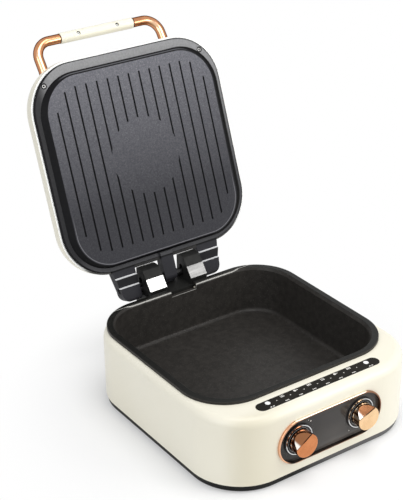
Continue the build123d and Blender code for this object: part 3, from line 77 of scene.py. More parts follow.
camera_data = bpy.data.cameras.new("camera")
camera_data.lens = camera_lens
camera = bpy.data.objects.new("camera", camera_data)
camera.matrix_world = Matrix.Translation(camera_place) @ Matrix(
    (right, up, backwards)).transposed().to_4x4()
bpy.context.scene.collection.objects.link(camera)
bpy.context.scene.camera = camera
bpy.context.scene.view_settings.view_transform = "Standard"
print("camera looks along", [round(v, 3) for v in -backwards])

# %% [markdown]
# ## A kit of shader nodes
#
# Every material is a small network of nodes. These helpers add one node each and return its
# result, so a network reads like a calculation. A value may be a plain one or the result of
# another node. The patterns read object coordinates, which are metres here, so a scale of
# 1000 is one wrinkle for each millimetre.

# %% Shader nodes
def feed(tree, value, socket):
    """Gives a socket a plain value or the result of another node."""
    if isinstance(value, bpy.types.NodeSocket):
        tree.links.new(value, socket)
    else:
        socket.default_value = value


def filled(tree, kind, *values, **settings):
    """Adds a node, sets it and fills its first sockets in their order."""
    node = tree.nodes.new(kind)
    for name, setting in settings.items():
        setattr(node, name, setting)
    for value, socket in zip(values, node.inputs):
        feed(tree, value, socket)
    return node


def mapped(tree, turn=(0, 0, 0), shift=(0, 0, 0), stretch=(1, 1, 1)):
    """Object coordinates, turned, moved and stretched."""
    coords = tree.nodes.new("ShaderNodeTexCoord").outputs["Object"]
    return filled(tree, "ShaderNodeMapping", coords, shift, turn, stretch).outputs["Vector"]


def noise(tree, vector, scale, detail=3.0):
    node = filled(tree, "ShaderNodeTexNoise", vector)
    node.inputs["Scale"].default_value = scale
    node.inputs["Detail"].default_value = detail
    return node.outputs["Fac"]


def graded(tree, value, low, high, out_low=0.0, out_high=1.0, curve="SMOOTHSTEP"):
    """Value, taken from one range to another."""
    return filled(tree, "ShaderNodeMapRange", value, low, high, out_low, out_high,
                  interpolation_type=curve).outputs["Result"]


def blended(tree, share, first, second):
    """Mix of two colours, each a tuple or the result of a node."""
    node = filled(tree, "ShaderNodeMix", share, data_type="RGBA")
    sockets = [s for s in node.inputs if s.type == "RGBA"]
    for socket, colour in zip(sockets, (first, second)):
        feed(tree, (*colour, 1) if isinstance(colour, tuple) else colour, socket)
    return [s for s in node.outputs if s.type == "RGBA"][0]


def calculated(tree, operation, first, second=0.0):
    """Sum, difference or other result of one or two values."""
    return filled(tree, "ShaderNodeMath", first, second, operation=operation).outputs[0]


def product(tree, *shares):
    total = shares[0]
    for share in shares[1:]:
        total = calculated(tree, "MULTIPLY", total, share)
    return total


def between(tree, value, low, high, soft):
    """1 from low to high, falling to 0 within soft on either side."""
    return product(tree, graded(tree, value, low - soft, low),
                   graded(tree, value, high, high + soft, 1.0, 0.0))


def part_of(tree, vector, axis):
    return filled(tree, "ShaderNodeSeparateXYZ", vector).outputs[axis]


def combined(tree, *parts):
    return filled(tree, "ShaderNodeCombineXYZ", *parts).outputs["Vector"]


# %% [markdown]
# ## Studio
#
# Small appliances are photographed on a white sweep between large soft boxes. Three area
# lamps stand for the boxes: a key close to the front right corner, so that its light falls off
# towards the left of the front wall, a weak fill on the left, and one above the open lid that
# draws the top edges. The world gives the rest of the light. What the
# camera and the shiny surfaces see behind the object is plain white, which the light path
# decides, so the background never needs more light than the object.

# %% Lamps and world
def area_lamp(name, place, target, size, power, colour):
    data = bpy.data.lights.new(name, "AREA")
    data.size = size
    data.energy = power
    data.color = colour
    lamp = bpy.data.objects.new(name, data)
    lamp.location = place
    lamp.rotation_euler = (Vector(target) - Vector(place)).to_track_quat("-Z", "Y").to_euler()
    bpy.context.scene.collection.objects.link(lamp)
    print(name, "stands at", place)


def show_white(tree, share, plain, white_kind, out_kind):
    """Ends a tree: plain for rays that carry light, a share of white for rays that are seen."""
    path = tree.nodes.new("ShaderNodeLightPath").outputs
    seen = path["Is Camera Ray"]
    for name in ("Is Glossy Ray", "Is Transmission Ray"):
        seen = calculated(tree, "MAXIMUM", seen, path[name])
    white = filled(tree, white_kind, (1, 1, 1, 1))
    mix = filled(tree, "ShaderNodeMixShader", product(tree, seen, share), plain.outputs[0],
                 white.outputs[0])
    filled(tree, out_kind, mix.outputs[0])


area_lamp("key_lamp", (0.64, -0.84, 0.68), (0.05, -0.05, 0.12), 0.6, 5.2, (1.0, 0.985, 0.95))
area_lamp("fill_lamp", (-1.5, -0.5, 1.0), (0.0, 0.05, 0.15), 1.2, 7.0, (0.98, 0.99, 1.0))
area_lamp("top_lamp", (0.1, -0.25, 1.35), (0.0, 0.1, 0.2), 0.7, 7.0, (1.0, 1.0, 1.0))

world = bpy.data.worlds.new("studio")
bpy.context.scene.world = world
world.use_nodes = True
sky = world.node_tree
sky.nodes.clear()
sky_colour, sky_strength = (0.97, 0.985, 1.0, 1), 0.5
soft_light = filled(sky, "ShaderNodeBackground", sky_colour, sky_strength)
show_white(sky, 1.0, soft_light, "ShaderNodeBackground", "ShaderNodeOutputWorld")

# %% [markdown]
# The floor is a big pale sheet. Close to the object it is mostly an ordinary matt surface,
# which keeps the soft shadow, with a share of plain white that makes the shadow lighter.
# Farther out it fades to the same white as the world, so no horizon shows.

# %% Floor
floor_reach = 6.0
floor_shadow_radius = 0.18
floor_white_radius = 0.37
floor_least_white = 0.30
bpy.ops.mesh.primitive_plane_add(size=2 * floor_reach)
floor = bpy.context.object
floor.name = "floor"

floor_material = bpy.data.materials.new("floor_sheet")
floor_material.use_nodes = True
sheet = floor_material.node_tree
sheet.nodes.clear()
away = filled(sheet, "ShaderNodeVectorMath", mapped(sheet), operation="LENGTH").outputs["Value"]
fade = graded(sheet, away, floor_shadow_radius, floor_white_radius, floor_least_white)
matt = filled(sheet, "ShaderNodeBsdfDiffuse", (0.93, 0.93, 0.93, 1))
show_white(sheet, fade, matt, "ShaderNodeEmission", "ShaderNodeOutputMaterial")
floor.data.materials.append(floor_material)
print("floor is white from", floor_white_radius, "m outwards")

# %% [markdown]
# ## A kit for finishes
#
# Every finish here starts the same way: a slow noise that wanders between two tones of one
# colour, a faster noise that changes the roughness, and a very fine one that tilts the
# surface a little. The class below builds those three. A finish may then add something of its
# own, such as speckles or painted shade on a side wall: `shade` blends the colour so far towards
# another one, and `ramp` and `window` say where, in millimetres along one axis of the finish's grid.

# %% Finish kit
noise_span = (0.3, 0.7)


class Finish:
    """A material with its tree, its shader and the colour that feeds it."""

    def __init__(self, name, tones, tone_scale, rough, rough_scale, grain_scale, grain_depth,
                 stretch=(1, 1, 1), metallic=0.0):
        self.material = bpy.data.materials.new(name)
        self.material.use_nodes = True
        self.tree = self.material.node_tree
        self.tree.nodes.clear()
        self.shader = self.tree.nodes.new("ShaderNodeBsdfPrincipled")
        filled(self.tree, "ShaderNodeOutputMaterial", self.shader.outputs["BSDF"])
        self.shader.inputs["Metallic"].default_value = metallic
        self.place = mapped(self.tree, stretch=stretch)
        self.grid = self.place
        tone = graded(self.tree, noise(self.tree, self.place, tone_scale), *noise_span)
        self.set_colour(blended(self.tree, tone, *tones))
        wander = noise(self.tree, self.place, rough_scale)
        feed(self.tree, graded(self.tree, wander, *noise_span, *rough),
             self.shader.inputs["Roughness"])
        bump = self.tree.nodes.new("ShaderNodeBump")
        grain = noise(self.tree, self.place, grain_scale, 2.0)
        for label, value in (("Strength", 1.0), ("Distance", grain_depth), ("Height", grain)):
            feed(self.tree, value, bump.inputs[label])
        feed(self.tree, bump.outputs["Normal"], self.shader.inputs["Normal"])
        print("finish:", name)

    def set_colour(self, socket):
        self.colour = socket
        self.tree.links.new(socket, self.shader.inputs["Base Color"])

    def shade(self, colour, *shares):
        """Blends the colour so far towards another one, by the product of the shares."""
        self.set_colour(blended(self.tree, product(self.tree, *shares), self.colour, colour))

    def along(self, axis):
        """One coordinate of the grid that this finish is drawn on."""
        return part_of(self.tree, self.grid, axis)

    def off_middle(self):
        """Distance left or right of the middle."""
        return calculated(self.tree, "ABSOLUTE", self.along("X"))

    def ramp(self, axis, low, high, out_low=0.0, out_high=1.0, start=0.0):
        """Goes from one share to the other along an axis, in millimetres from start."""
        return graded(self.tree, self.along(axis), start + low * MM, start + high * MM,
                      out_low, out_high)

    def window(self, axis, low, high, soft, start=0.0):
        """1 from low to high along an axis with soft ends, in millimetres from start."""
        return between(self.tree, self.along(axis), start + low * MM, start + high * MM,
                       soft * MM)

    def set(self, **values):
        for name, value in values.items():
            socket = self.shader.inputs[name.replace("_", " ").title().replace("Ior", "IOR")]
            socket.default_value = value
        return self


finishes = {}

# %% [markdown]
# ## Ivory shells
#
# The body and the lid's cover are glossy moulded plastic, painted a warm ivory. Real shells of
# this size are never quite even: the paint is a touch yellower in some places, and its skin has
# a faint orange peel. Two very close tones, a soft clear coat and a shallow bump give that. The
# body's front wall carries painted shade, darker and yellower towards its left end, and a thin
# light line round its foot is a painted highlight.

# %% Ivory
def ivory_paint(name):
    return Finish(name, ((0.87, 0.835, 0.715), (0.85, 0.81, 0.68)), 5.0, (0.30, 0.38), 60.0,
                  900.0, 0.00002).set(coat_weight=0.15, coat_roughness=0.2,
                                      specular_ior_level=0.35)


ivory_shell = ivory_paint("ivory_paint")
# Painted shade: the front wall darker and yellower towards its left end.
at_front = ivory_shell.ramp("Y", -140.0, -165.0)
shade_to_the_left = ivory_shell.ramp("X", -20.0, -150.0, 0.0, 0.75)
ivory_shell.shade((0.72, 0.665, 0.51), at_front, shade_to_the_left)
# Painted highlight: a thin light line round the foot of the body.
foot_highlight = ivory_shell.ramp("Z", 1.3, 2.2, 0.85, 0.0, start=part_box("base_shell")[0].z)
ivory_shell.shade((0.97, 0.95, 0.88), foot_highlight)
finishes["ivory_shell"] = ivory_shell
finishes["ivory_grip"] = Finish(
    "ivory_grip", ((0.91, 0.88, 0.74), (0.89, 0.855, 0.71)), 30.0, (0.34, 0.42), 90.0,
    1100.0, 0.00002).set(coat_weight=0.15, coat_roughness=0.25)

# %% [markdown]
# ## Black mouldings
#
# The skirt under the body and the hinge block are plain black plastic with the fine matt grain
# of a spark-eroded mould. The grain is a bump, not a picture, because the pieces curve. A low
# specular level keeps black pieces black in a white studio: they would mirror its walls. The
# skirt is smoother than the block, and a grey belt on it at the front right is a painted
# highlight.

# %% Black mouldings
black_tones = ((0.010, 0.010, 0.010), (0.018, 0.018, 0.017))
finishes["black_housing"] = Finish(
    "black_grained_plastic", black_tones, 25.0, (0.36, 0.5), 120.0, 1500.0, 0.00006).set(
        specular_ior_level=0.13)
skirt_black = Finish(
    "skirt_with_painted_highlight", black_tones, 25.0, (0.30, 0.4), 120.0, 1500.0, 0.00004).set(
        specular_ior_level=0.13)
# Painted highlight: a grey belt along the skirt at the front right.
highlight_belt = skirt_black.window("Z", 4.0, 8.6, 1.4)
at_front = skirt_black.ramp("Y", -100.0, -140.0)
to_the_right = skirt_black.ramp("X", -70.0, 30.0)
skirt_black.shade((0.125, 0.125, 0.127), highlight_belt, at_front, to_the_right)
finishes["rubber"] = Finish(
    "foot_rubber", ((0.018, 0.018, 0.018), (0.03, 0.029, 0.028)), 60.0, (0.75, 0.9), 200.0,
    1200.0, 0.0001).set(specular_ior_level=0.3)
finishes["inlet_black"] = Finish(
    "inlet_moulding", ((0.014, 0.014, 0.014), (0.024, 0.024, 0.024)), 80.0, (0.4, 0.55), 300.0,
    1500.0, 0.00004).set(specular_ior_level=0.3)

# %% [markdown]
# ## The lid's coordinates
#
# Several finishes of the lid change from place to place: the plate's grooves are painted darker
# than its face, as painted shade, and the bezel has painted shade on its outer edge. Such places
# are easy to state on a closed lid, where the plate lies level and a groove is simply higher than
# the face. The lid stands open here, so a Mapping node turns its coordinates back about the hinge
# to the closed lid.

# %% Closed-lid coordinates
lid_joint = next(j for j in frame["joints"] if j["name"] == "lid_hinge")
hinge_place = Vector(lid_joint["pos_m"])
open_turn = math.radians(max(lid_joint["range_deg"]))
turn_back = Matrix.Rotation(open_turn, 4, "X")
closing = Matrix.Translation(hinge_place) @ turn_back @ Matrix.Translation(-hinge_place)


def closed_points(name):
    """Corners of a lid piece's mesh as if the lid were closed."""
    return [closing @ v.co for v in nodes[name].data.vertices]


def reach_of(points):
    """Lowest and highest corner of the box round some points."""
    return [Vector(pick(p[i] for p in points) for i in range(3)) for pick in (min, max)]


def closed_place(tree):
    """Object coordinates of a lid piece as if the lid were closed."""
    return mapped(tree, turn=(open_turn, 0, 0), shift=tuple(closing.translation))


def on_closed_lid(finish):
    """Draws what a finish adds on the closed lid's coordinates."""
    finish.grid = closed_place(finish.tree)
    return finish


class Outline:
    """Square with round corners on the closed lid, found from a node's mesh."""

    def __init__(self, name, low_z, high_z, inset=0.0):
        edge = [p for p in closed_points(name) if low_z <= p.z <= high_z]
        low, high = reach_of(edge)
        self.middle = (high.y + low.y) / 2
        self.half_width = high.x - inset
        self.half_depth = (high.y - low.y) / 2 - inset
        to_corner = max(abs(p.x) + abs(p.y - self.middle) for p in edge)
        spare = self.half_width + self.half_depth + 2 * inset - to_corner
        self.corner = spare / (2 - math.sqrt(2)) - inset
        sizes = [round(v / MM, 1) for v in (self.half_width, self.half_depth, self.corner)]
        print(name, "outline:", sizes, "mm")

    def beyond(self, tree):
        """Distance outwards from the outline, negative inside it."""
        place = closed_place(tree)
        along = calculated(tree, "SUBTRACT", part_of(tree, place, "Y"), self.middle)
        reach = []
        for value, half in ((part_of(tree, place, "X"), self.half_width),
                            (along, self.half_depth)):
            off = calculated(tree, "ABSOLUTE", value)
            past = calculated(tree, "SUBTRACT", off, half - self.corner)
            reach.append(calculated(tree, "POWER", calculated(tree, "MAXIMUM", past), 2.0))
        radius = calculated(tree, "SQRT", calculated(tree, "ADD", *reach))
        return calculated(tree, "SUBTRACT", radius, self.corner)


plate_low, plate_high = reach_of(closed_points("grill_plate"))
shell_low, shell_high = reach_of(closed_points("lid_shell"))
plate_face = plate_low.z
edge_slack = 0.3 * MM
cover_outline = Outline("lid_shell", shell_low.z, shell_low.z + edge_slack, inset=2.8 * MM)
plate_outline = Outline("grill_plate", plate_face, plate_face + edge_slack)
plate_base = Outline("grill_plate", plate_face, plate_high.z)

# %% [markdown]
# The cover's lower edge is a narrow flat lip. At the front and the sides it carries a painted
# highlight, very light, and along the hinge painted shade, nearly black, so that no pale line
# shows in the gap between the cover and the hinge ears.

# %% Lid cover
ivory_lid = on_closed_lid(ivory_paint("ivory_lid_paint"))
on_lip = ivory_lid.ramp("Z", 0.25, 0.65, 1.0, 0.0, start=shell_low.z)
# Painted highlight: the lip very light at the front and the sides.
ivory_lid.shade((0.97, 0.97, 0.95), on_lip)
# Painted shade: the lip nearly black along the hinge.
near_hinge = ivory_lid.ramp("Y", -26.0, -10.0, start=shell_high.y)
ivory_lid.shade((0.03, 0.03, 0.025), near_hinge, on_lip)

# %% [markdown]
# The screws of the lid come in pairs, equally far left and right of the middle. A distance that
# is measured with the absolute value of X serves both of them with one number.

# %% Distance to a pair of screws
def head_centre(name, slack):
    """Middle of the lowest face of a pair's right-hand screw, with the lid closed."""
    places = [p for p in closed_points(name) if p.x > 0]
    lowest = min(p.z for p in places)
    face = [p for p in places if p.z < lowest + slack]
    return sum(face, Vector()) / len(face)


def distance_to(tree, centre):
    """Distance to a place on the closed lid or to its mirror image on the left."""
    here = closed_place(tree)
    x, y, z = (part_of(tree, here, axis) for axis in "XYZ")
    folded = combined(tree, calculated(tree, "ABSOLUTE", x), y, z)
    return filled(tree, "ShaderNodeVectorMath", folded, centre,
                  operation="DISTANCE").outputs["Value"]


bezel_head = head_centre("bezel_screws", 0.5 * MM)
grip_head = head_centre("grip_screws", 2.0 * MM)
print("bezel screw at", [round(v / MM, 1) for v in bezel_head], "mm on the closed lid")

# %% [markdown]
# ## Non-stick coats
#
# The cast plates are sprayed with a speckled coat: a dark binder with mica flakes about a
# millimetre wide. A second, fine noise is cut high so that only its peaks become flakes.
# On the lid the floor of every groove and the side wall of the plate are painted nearly black, as
# painted shade, and the coat is painted darker towards the hinge, as painted shade too. A thin
# lighter line, a painted highlight, marks the wall's foot at the front and the face's edge at the
# rear.

# %% Non-stick coats
flake_scale = 620.0
flake_edge = 0.16
near_black = (0.005, 0.005, 0.006)


def add_flakes(finish, level, colour, share):
    """Sprinkles a finish with flakes where a fine noise rises over a level."""
    flakes = noise(finish.tree, finish.place, flake_scale, 1.0)
    finish.shade(colour, graded(finish.tree, flakes, level, level + flake_edge, 0.0, share))


def paint_shade_to_hinge(finish, share, colour):
    """Paints shade on a lid piece: a darker colour that grows from its front edge towards the hinge."""
    finish.shade(colour, graded(finish.tree, finish.along("Y"), shell_low.y,
                                shell_high.y - 90.0 * MM, 0.0, share, "LINEAR"))


plate_coat = on_closed_lid(Finish(
    "plate_coat", ((0.125, 0.125, 0.144), (0.175, 0.175, 0.194)), 380.0, (0.42, 0.55), 300.0,
    900.0, 0.00006).set(specular_ior_level=0.1))
add_flakes(plate_coat, 0.56, (0.29, 0.29, 0.31), 0.55)
paint_shade_to_hinge(plate_coat, 0.79, (0.012, 0.012, 0.015))
# Painted shade: the groove floors and the plate's side wall nearly black.
groove_and_wall_shade = plate_coat.ramp("Z", 0.15, 0.65, start=plate_face)
plate_coat.shade(near_black, groove_and_wall_shade)
# Painted highlights: a light line on the front wall and one inside the face's edge at the rear.
front_wall = plate_coat.ramp("Y", 5.0, 12.0, 1.0, 0.0, start=plate_low.y)
wall_highlight = plate_coat.window("Z", 3.2, 4.6, 0.4, start=plate_face)
plate_coat.shade((0.12, 0.12, 0.13), front_wall, wall_highlight)
edge_highlight = between(plate_coat.tree, plate_outline.beyond(plate_coat.tree),
                    -2.0 * MM, -1.2 * MM, 0.3 * MM)
rear_half = plate_coat.ramp("Y", 60.0, 120.0, 0.0, 0.8)
plate_coat.shade((0.20, 0.20, 0.215), edge_highlight, rear_half)
finishes["nonstick_plate"] = plate_coat

pan_coat = Finish("pan_coat", ((0.024, 0.022, 0.020), (0.034, 0.031, 0.028)), 120.0,
                  (0.34, 0.46), 300.0, 900.0, 0.00005).set(specular_ior_level=0.16)
add_flakes(pan_coat, 0.6, (0.08, 0.075, 0.07), 0.5)
finishes["nonstick_pan"] = pan_coat

# %% [markdown]
# The top of the pan's rim is nearly black. A bright line is painted as a highlight along its inner
# edge at the back and on the floor of the hinge notch. That painted highlight is a window on the
# height and the depth of the piece.

# %% Rim
rim_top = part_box("lower_pan")[1].z
rim_points = [v.co for v in nodes["lower_pan"].data.vertices if v.co.z > rim_top - 0.1 * MM]
rear_edge = min(p.y for p in rim_points if p.y > 0.1 and abs(p.x) < 0.1)
print("rim top:", round(rim_top, 4), "inner edge at the back:", round(rear_edge, 4))
on_rim = pan_coat.ramp("Z", -0.4, -0.1, start=rim_top)
pan_coat.shade((0.007, 0.007, 0.006), on_rim)
# Painted highlight: a bright line along the rim's inner edge at the back and on the notch floor.
rim_highlight = pan_coat.window("Y", -0.6, 0.1, 0.15, start=rear_edge)
above_notch = pan_coat.ramp("Z", -11.0, -10.6, start=rim_top)
pan_coat.shade((0.50, 0.49, 0.46), rim_highlight, above_notch)

# %% [markdown]
# ## Bezel
#
# The bezel is a plastic frame with the same grey speckle as the plate. Its left side lies in
# painted shade. At the right a black line of painted shade runs beside the plate, and the rim is
# painted a little darker. The outer edge, where it dips under the cover's lip, is painted dark as
# shade, and the hinge ears carry two painted highlights on their ridges, with painted shade on the
# step between them. All are windows on the closed lid's coordinates.

# %% Bezel
bezel_coat = on_closed_lid(Finish(
    "bezel_coat", ((0.250, 0.250, 0.254), (0.295, 0.295, 0.300)), 380.0, (0.4, 0.52), 300.0,
    900.0, 0.00005).set(specular_ior_level=0.1))
tree = bezel_coat.tree
add_flakes(bezel_coat, 0.58, (0.30, 0.30, 0.31), 0.5)
paint_shade_to_hinge(bezel_coat, 0.84, (0.028, 0.028, 0.033))
# Painted shade on the left side.
in_shade = bezel_coat.ramp("X", -120.0, -146.0, 0.0, 0.95)
bezel_coat.shade((0.020, 0.020, 0.022), in_shade)
# Painted shade: a black line beside the plate at the right, and a darker rim.
right_side = bezel_coat.ramp("X", 60.0, 110.0)
by_plate = graded(tree, plate_base.beyond(tree), -2.5 * MM, -1.8 * MM, 1.0, 0.0)
bezel_coat.shade((0.001, 0.001, 0.001), by_plate, right_side)
past_cover = cover_outline.beyond(tree)
at_rim = graded(tree, past_cover, -2.4 * MM, -1.8 * MM, 0.0, 0.5)
bezel_coat.shade(near_black, at_rim, right_side)
# Painted shade along the outer edge, wider at the left.
wider_at_left = bezel_coat.ramp("X", -100.0, -140.0, 0.0, 1.4 * MM)
from_edge = calculated(tree, "ADD", past_cover, wider_at_left)
bezel_coat.shade(near_black, graded(tree, from_edge, -1.2 * MM, -0.8 * MM))
past_edge = bezel_coat.ramp("Y", 172.0, 174.0)
bezel_coat.shade((0.030, 0.030, 0.035), past_edge)
# Painted highlights on the ears' ridges and painted shade on the step between them.
on_ear = graded(tree, bezel_coat.off_middle(), 53.0 * MM, 54.0 * MM)
face_side = bezel_coat.ramp("Z", 116.5, 117.0, 1.0, 0.0)
step_shade, ridge_highlight = (0.022, 0.022, 0.024), (0.72, 0.72, 0.73)
for low, high, colour in ((184.6, 198.0, step_shade), (183.2, 184.6, ridge_highlight),
                          (198.0, 199.3, ridge_highlight)):
    bezel_coat.shade(colour, on_ear, face_side, bezel_coat.window("Y", low, high, 0.2))
# Painted shade in the recess round each screw.
recess_shade = graded(tree, distance_to(tree, bezel_head), 4.2 * MM, 4.8 * MM, 0.9, 0.0)
bezel_coat.shade(near_black, recess_shade)
finishes["black_frame"] = bezel_coat

# %% [markdown]
# ## Metals
#
# Polished copper-coloured metal in a white studio shows three zones: a pale stripe where it
# faces the viewer, its own colour beside that, and dark rims, which mirror what lies beside
# it. A layer weight tells the three apart and paints them into the colour: the stripe is a
# painted highlight and the rims are painted reflections. The tube also has painted shade where
# it enters the grip.
# Brushed steel is the same noise as the paint's, stretched along one axis, in both its
# roughness and its bump. The other metals differ only in their numbers, so a table holds them.

# %% Metals
copper = Finish("polished_copper", ((0.63, 0.30, 0.155), (0.50, 0.23, 0.115)), 45.0,
                (0.10, 0.18), 120.0, 700.0, 0.00001, metallic=1.0).set(
                    specular_tint=(0.35, 0.16, 0.09, 1))
copper_painted_highlight = (0.95, 0.66, 0.43)
copper_painted_dark = (0.07, 0.022, 0.009)
# Painted highlight and painted reflections, by how the surface faces the viewer.
facing = filled(copper.tree, "ShaderNodeLayerWeight", 0.5).outputs["Facing"]
copper.shade(copper_painted_highlight, graded(copper.tree, facing, 0.048, 0.16, 0.75, 0.0))
copper.shade(copper_painted_dark, graded(copper.tree, facing, 0.34, 0.70))
# Painted shade where the tube enters the grip.
grip_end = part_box("grip_upper")[1].x
grip_entry_shade = between(copper.tree, copper.off_middle(), grip_end - 1.0 * MM, grip_end + 1.2 * MM,
                  0.6 * MM)
copper.shade(copper_painted_dark, grip_entry_shade)
finishes["rose_gold"] = copper

# Slot, name, tones and their scale, roughness and its scale, scale and depth of the grain
for slot, *numbers in (
        ("steel_screws", "bright_zinc", ((0.68, 0.68, 0.67), (0.52, 0.52, 0.51)), 500.0,
         (0.22, 0.36), 600.0, 1500.0, 0.00003),
        ("control_steel", "zinc_sheet", ((0.58, 0.59, 0.57), (0.45, 0.46, 0.45)), 90.0,
         (0.28, 0.45), 300.0, 900.0, 0.00003),
        ("heater_sheath", "heat_dulled_sheath", ((0.20, 0.19, 0.18), (0.34, 0.30, 0.25)), 70.0,
         (0.35, 0.6), 300.0, 900.0, 0.00006),
        ("thermostat_case", "drawn_cup", ((0.62, 0.61, 0.58), (0.5, 0.49, 0.46)), 200.0,
         (0.3, 0.45), 400.0, 900.0, 0.00003),
        ("blade_brass", "plated_brass", ((0.74, 0.70, 0.58), (0.64, 0.60, 0.48)), 250.0,
         (0.2, 0.32), 400.0, 900.0, 0.00002),
        ("chrome_ring", "chrome", ((0.78, 0.78, 0.78), (0.7, 0.7, 0.7)), 200.0,
         (0.06, 0.12), 400.0, 900.0, 0.00001),
        ("bright_sheet", "rolled_aluminium", ((0.78, 0.78, 0.78), (0.66, 0.66, 0.66)), 60.0,
         (0.25, 0.4), 400.0, 900.0, 0.00004, (1, 0.04, 1)),
        ("hinge_steel", "brushed_steel", ((0.80, 0.80, 0.79), (0.66, 0.66, 0.65)), 60.0,
         (0.22, 0.38), 400.0, 900.0, 0.00003, (0.03, 1, 1))):
    finishes[slot] = Finish(*numbers, metallic=1.0)
# The right arm plate gets a darker copy of the brushed steel, as painted shade.
shaded_arm_steel = Finish("brushed_steel_painted_shade", ((0.27, 0.27, 0.27), (0.17, 0.17, 0.17)), 60.0,
                        (0.28, 0.42), 400.0, 900.0, 0.00004, stretch=(0.05, 1, 1), metallic=1.0)
blackened = Finish("blackened_steel", ((0.045, 0.045, 0.046), (0.030, 0.030, 0.031)), 200.0,
                   (0.35, 0.5), 400.0, 900.0, 0.00003, metallic=1.0)

# %% [markdown]
# ## Turned knob caps
#
# Each cap is a polished cylinder with one slanted facet across its face, which serves as a
# pointer. Its side carries painted reflections, long streaks of light and dark, and its face is
# even. The facet is painted darker, as a painted reflection of the darker lid, with a painted
# highlight at its left end and painted shade along the ridge below it. The right cap's face is
# painted paler than the left one's, as the lit copy. The two caps are turned differently, so a
# Mapping node turns the coordinates of each one until its facet points straight up, and one set
# of masks fits both. The direction from the axis, made one unit long, is the same all along a
# streak, and a noise reads it.

# %% Knob coordinates
def knob_place(tree, side):
    """Coordinates of a knob about its own axis, with its facet straight up."""
    joint = next(j for j in frame["joints"] if j["name"] == side + "_knob_turn")
    turn = math.radians(-sum(joint["range_deg"]) / 2)
    axis = Vector((joint["pos_m"][0], 0, joint["pos_m"][2]))
    print(side, "knob's facet is turned", round(math.degrees(turn)), "degrees")
    return mapped(tree, turn=(0, turn, 0), shift=tuple(-(Matrix.Rotation(turn, 3, "Y") @ axis)))


def spoke_direction(finish):
    """Direction away from the knob's axis, one unit long."""
    spoke = combined(finish.tree, finish.along("X"), 0.0, finish.along("Z"))
    return filled(finish.tree, "ShaderNodeVectorMath", spoke,
                  operation="NORMALIZE").outputs["Vector"]


# %% Knob caps
facet_height = 10.0 * MM
facet_slope = math.tan(math.radians(58.0))
cap_low, cap_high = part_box("left_knob_cap")
cap_face = cap_low.y
streak_scale = 4.2


def turned_cap(side, face_tones):
    """Polished cap with painted reflections: streaks on its side and a darker facet."""
    cap = Finish(side + "_cap_copper", face_tones, 90.0, (0.12, 0.2), 200.0, 900.0, 0.00001,
                 metallic=1.0)
    tree = cap.tree
    cap.grid = knob_place(tree, side)
    depth = calculated(tree, "SUBTRACT", cap.along("Y"), cap_face)
    height = cap.along("Z")
    # Painted reflections: light and dark streaks on the side.
    on_side = graded(tree, depth, 0.7 * MM, 1.3 * MM)
    streaks = noise(tree, spoke_direction(cap), streak_scale, 1.5)
    cap.shade((0.07, 0.02, 0.008), graded(tree, streaks, 0.53, 0.44, 0.0, 0.95), on_side)
    cap.shade((1.0, 0.90, 0.78), graded(tree, streaks, 0.56, 0.64, 0.0, 0.9), on_side)
    plane = product(tree, calculated(tree, "SUBTRACT", height, facet_height), facet_slope)
    off_plane = calculated(tree, "ABSOLUTE", calculated(tree, "SUBTRACT", depth, plane))
    on_facet = product(tree, graded(tree, off_plane, 0.5 * MM, 0.8 * MM, 1.0, 0.0),
                       cap.ramp("Z", 0.0, 0.3, start=facet_height))
    # Painted reflection on the facet, with a painted highlight at its left end.
    cap.shade((0.30, 0.13, 0.06), on_facet)
    cap.shade((1.0, 0.95, 0.88), on_facet, cap.ramp("X", -5.5, -9.0))
    # Painted shade along the ridge below the facet.
    ridge = cap.window("Z", -0.9, 0.2, 0.3, start=facet_height)
    at_face = graded(tree, depth, 0.9 * MM, 1.2 * MM, 1.0, 0.0)
    cap.shade((0.03, 0.010, 0.006), ridge, at_face, cap.ramp("X", -6.0, 2.0, 0.35, 1.0))
    return cap


# The right cap's paler tones are the lit copy of the left cap's: painted light and shade.
left_cap = turned_cap("left", ((0.68, 0.265, 0.110), (0.60, 0.225, 0.090)))
right_cap = turned_cap("right", ((0.96, 0.66, 0.38), (0.88, 0.58, 0.32)))
knob_x = abs(cap_low.x + cap_high.x) / 2
knob_z = next(j["pos_m"][2] for j in frame["joints"] if j["name"] == "left_knob_turn")

# %% [markdown]
# The trim round the controls is the same copper as the handle. Its left end faces the viewer's
# side and keeps the bright tone, and from there towards the right it is painted darker, as painted
# shade. The trough along its lower bar carries painted shade, and a cream line along its crown is
# a painted highlight.

# %% Trim
trim_copper = Finish("trim_copper", ((0.86, 0.50, 0.32), (0.74, 0.38, 0.23)), 45.0,
                     (0.16, 0.24), 120.0, 700.0, 0.00001, metallic=1.0)
# Painted shade: darker from the left end towards the right.
to_the_right = trim_copper.ramp("X", -80.0, -30.0, 0.0, 0.8)
trim_copper.shade((0.20, 0.10, 0.06), to_the_right)
trim_low, trim_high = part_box("control_trim")
# Painted shade in the trough along the lower bar.
trough = trim_copper.ramp("Z", 1.4, 1.9, start=trim_low.z)
lower_bar = trim_copper.ramp("Z", 8.0, 22.0, 1.0, 0.0, start=trim_low.z)
past_left_end = trim_copper.ramp("X", -76.0, -64.0)
trim_copper.shade((0.05, 0.038, 0.032), trough, lower_bar, past_left_end)
# Painted highlight: a cream line along the crown.
crown = trim_copper.ramp("Z", -0.9, -0.5, start=trim_high.z)
trim_copper.shade((0.84, 0.77, 0.63), crown)

# %% [markdown]
# ## Screw heads
#
# The bezel's and the grip's screws are small and sit in wells, so each one is a grey ring round a
# dark recess, the dark middle and rim being painted shade. The mask is the distance from the
# middle of the head.

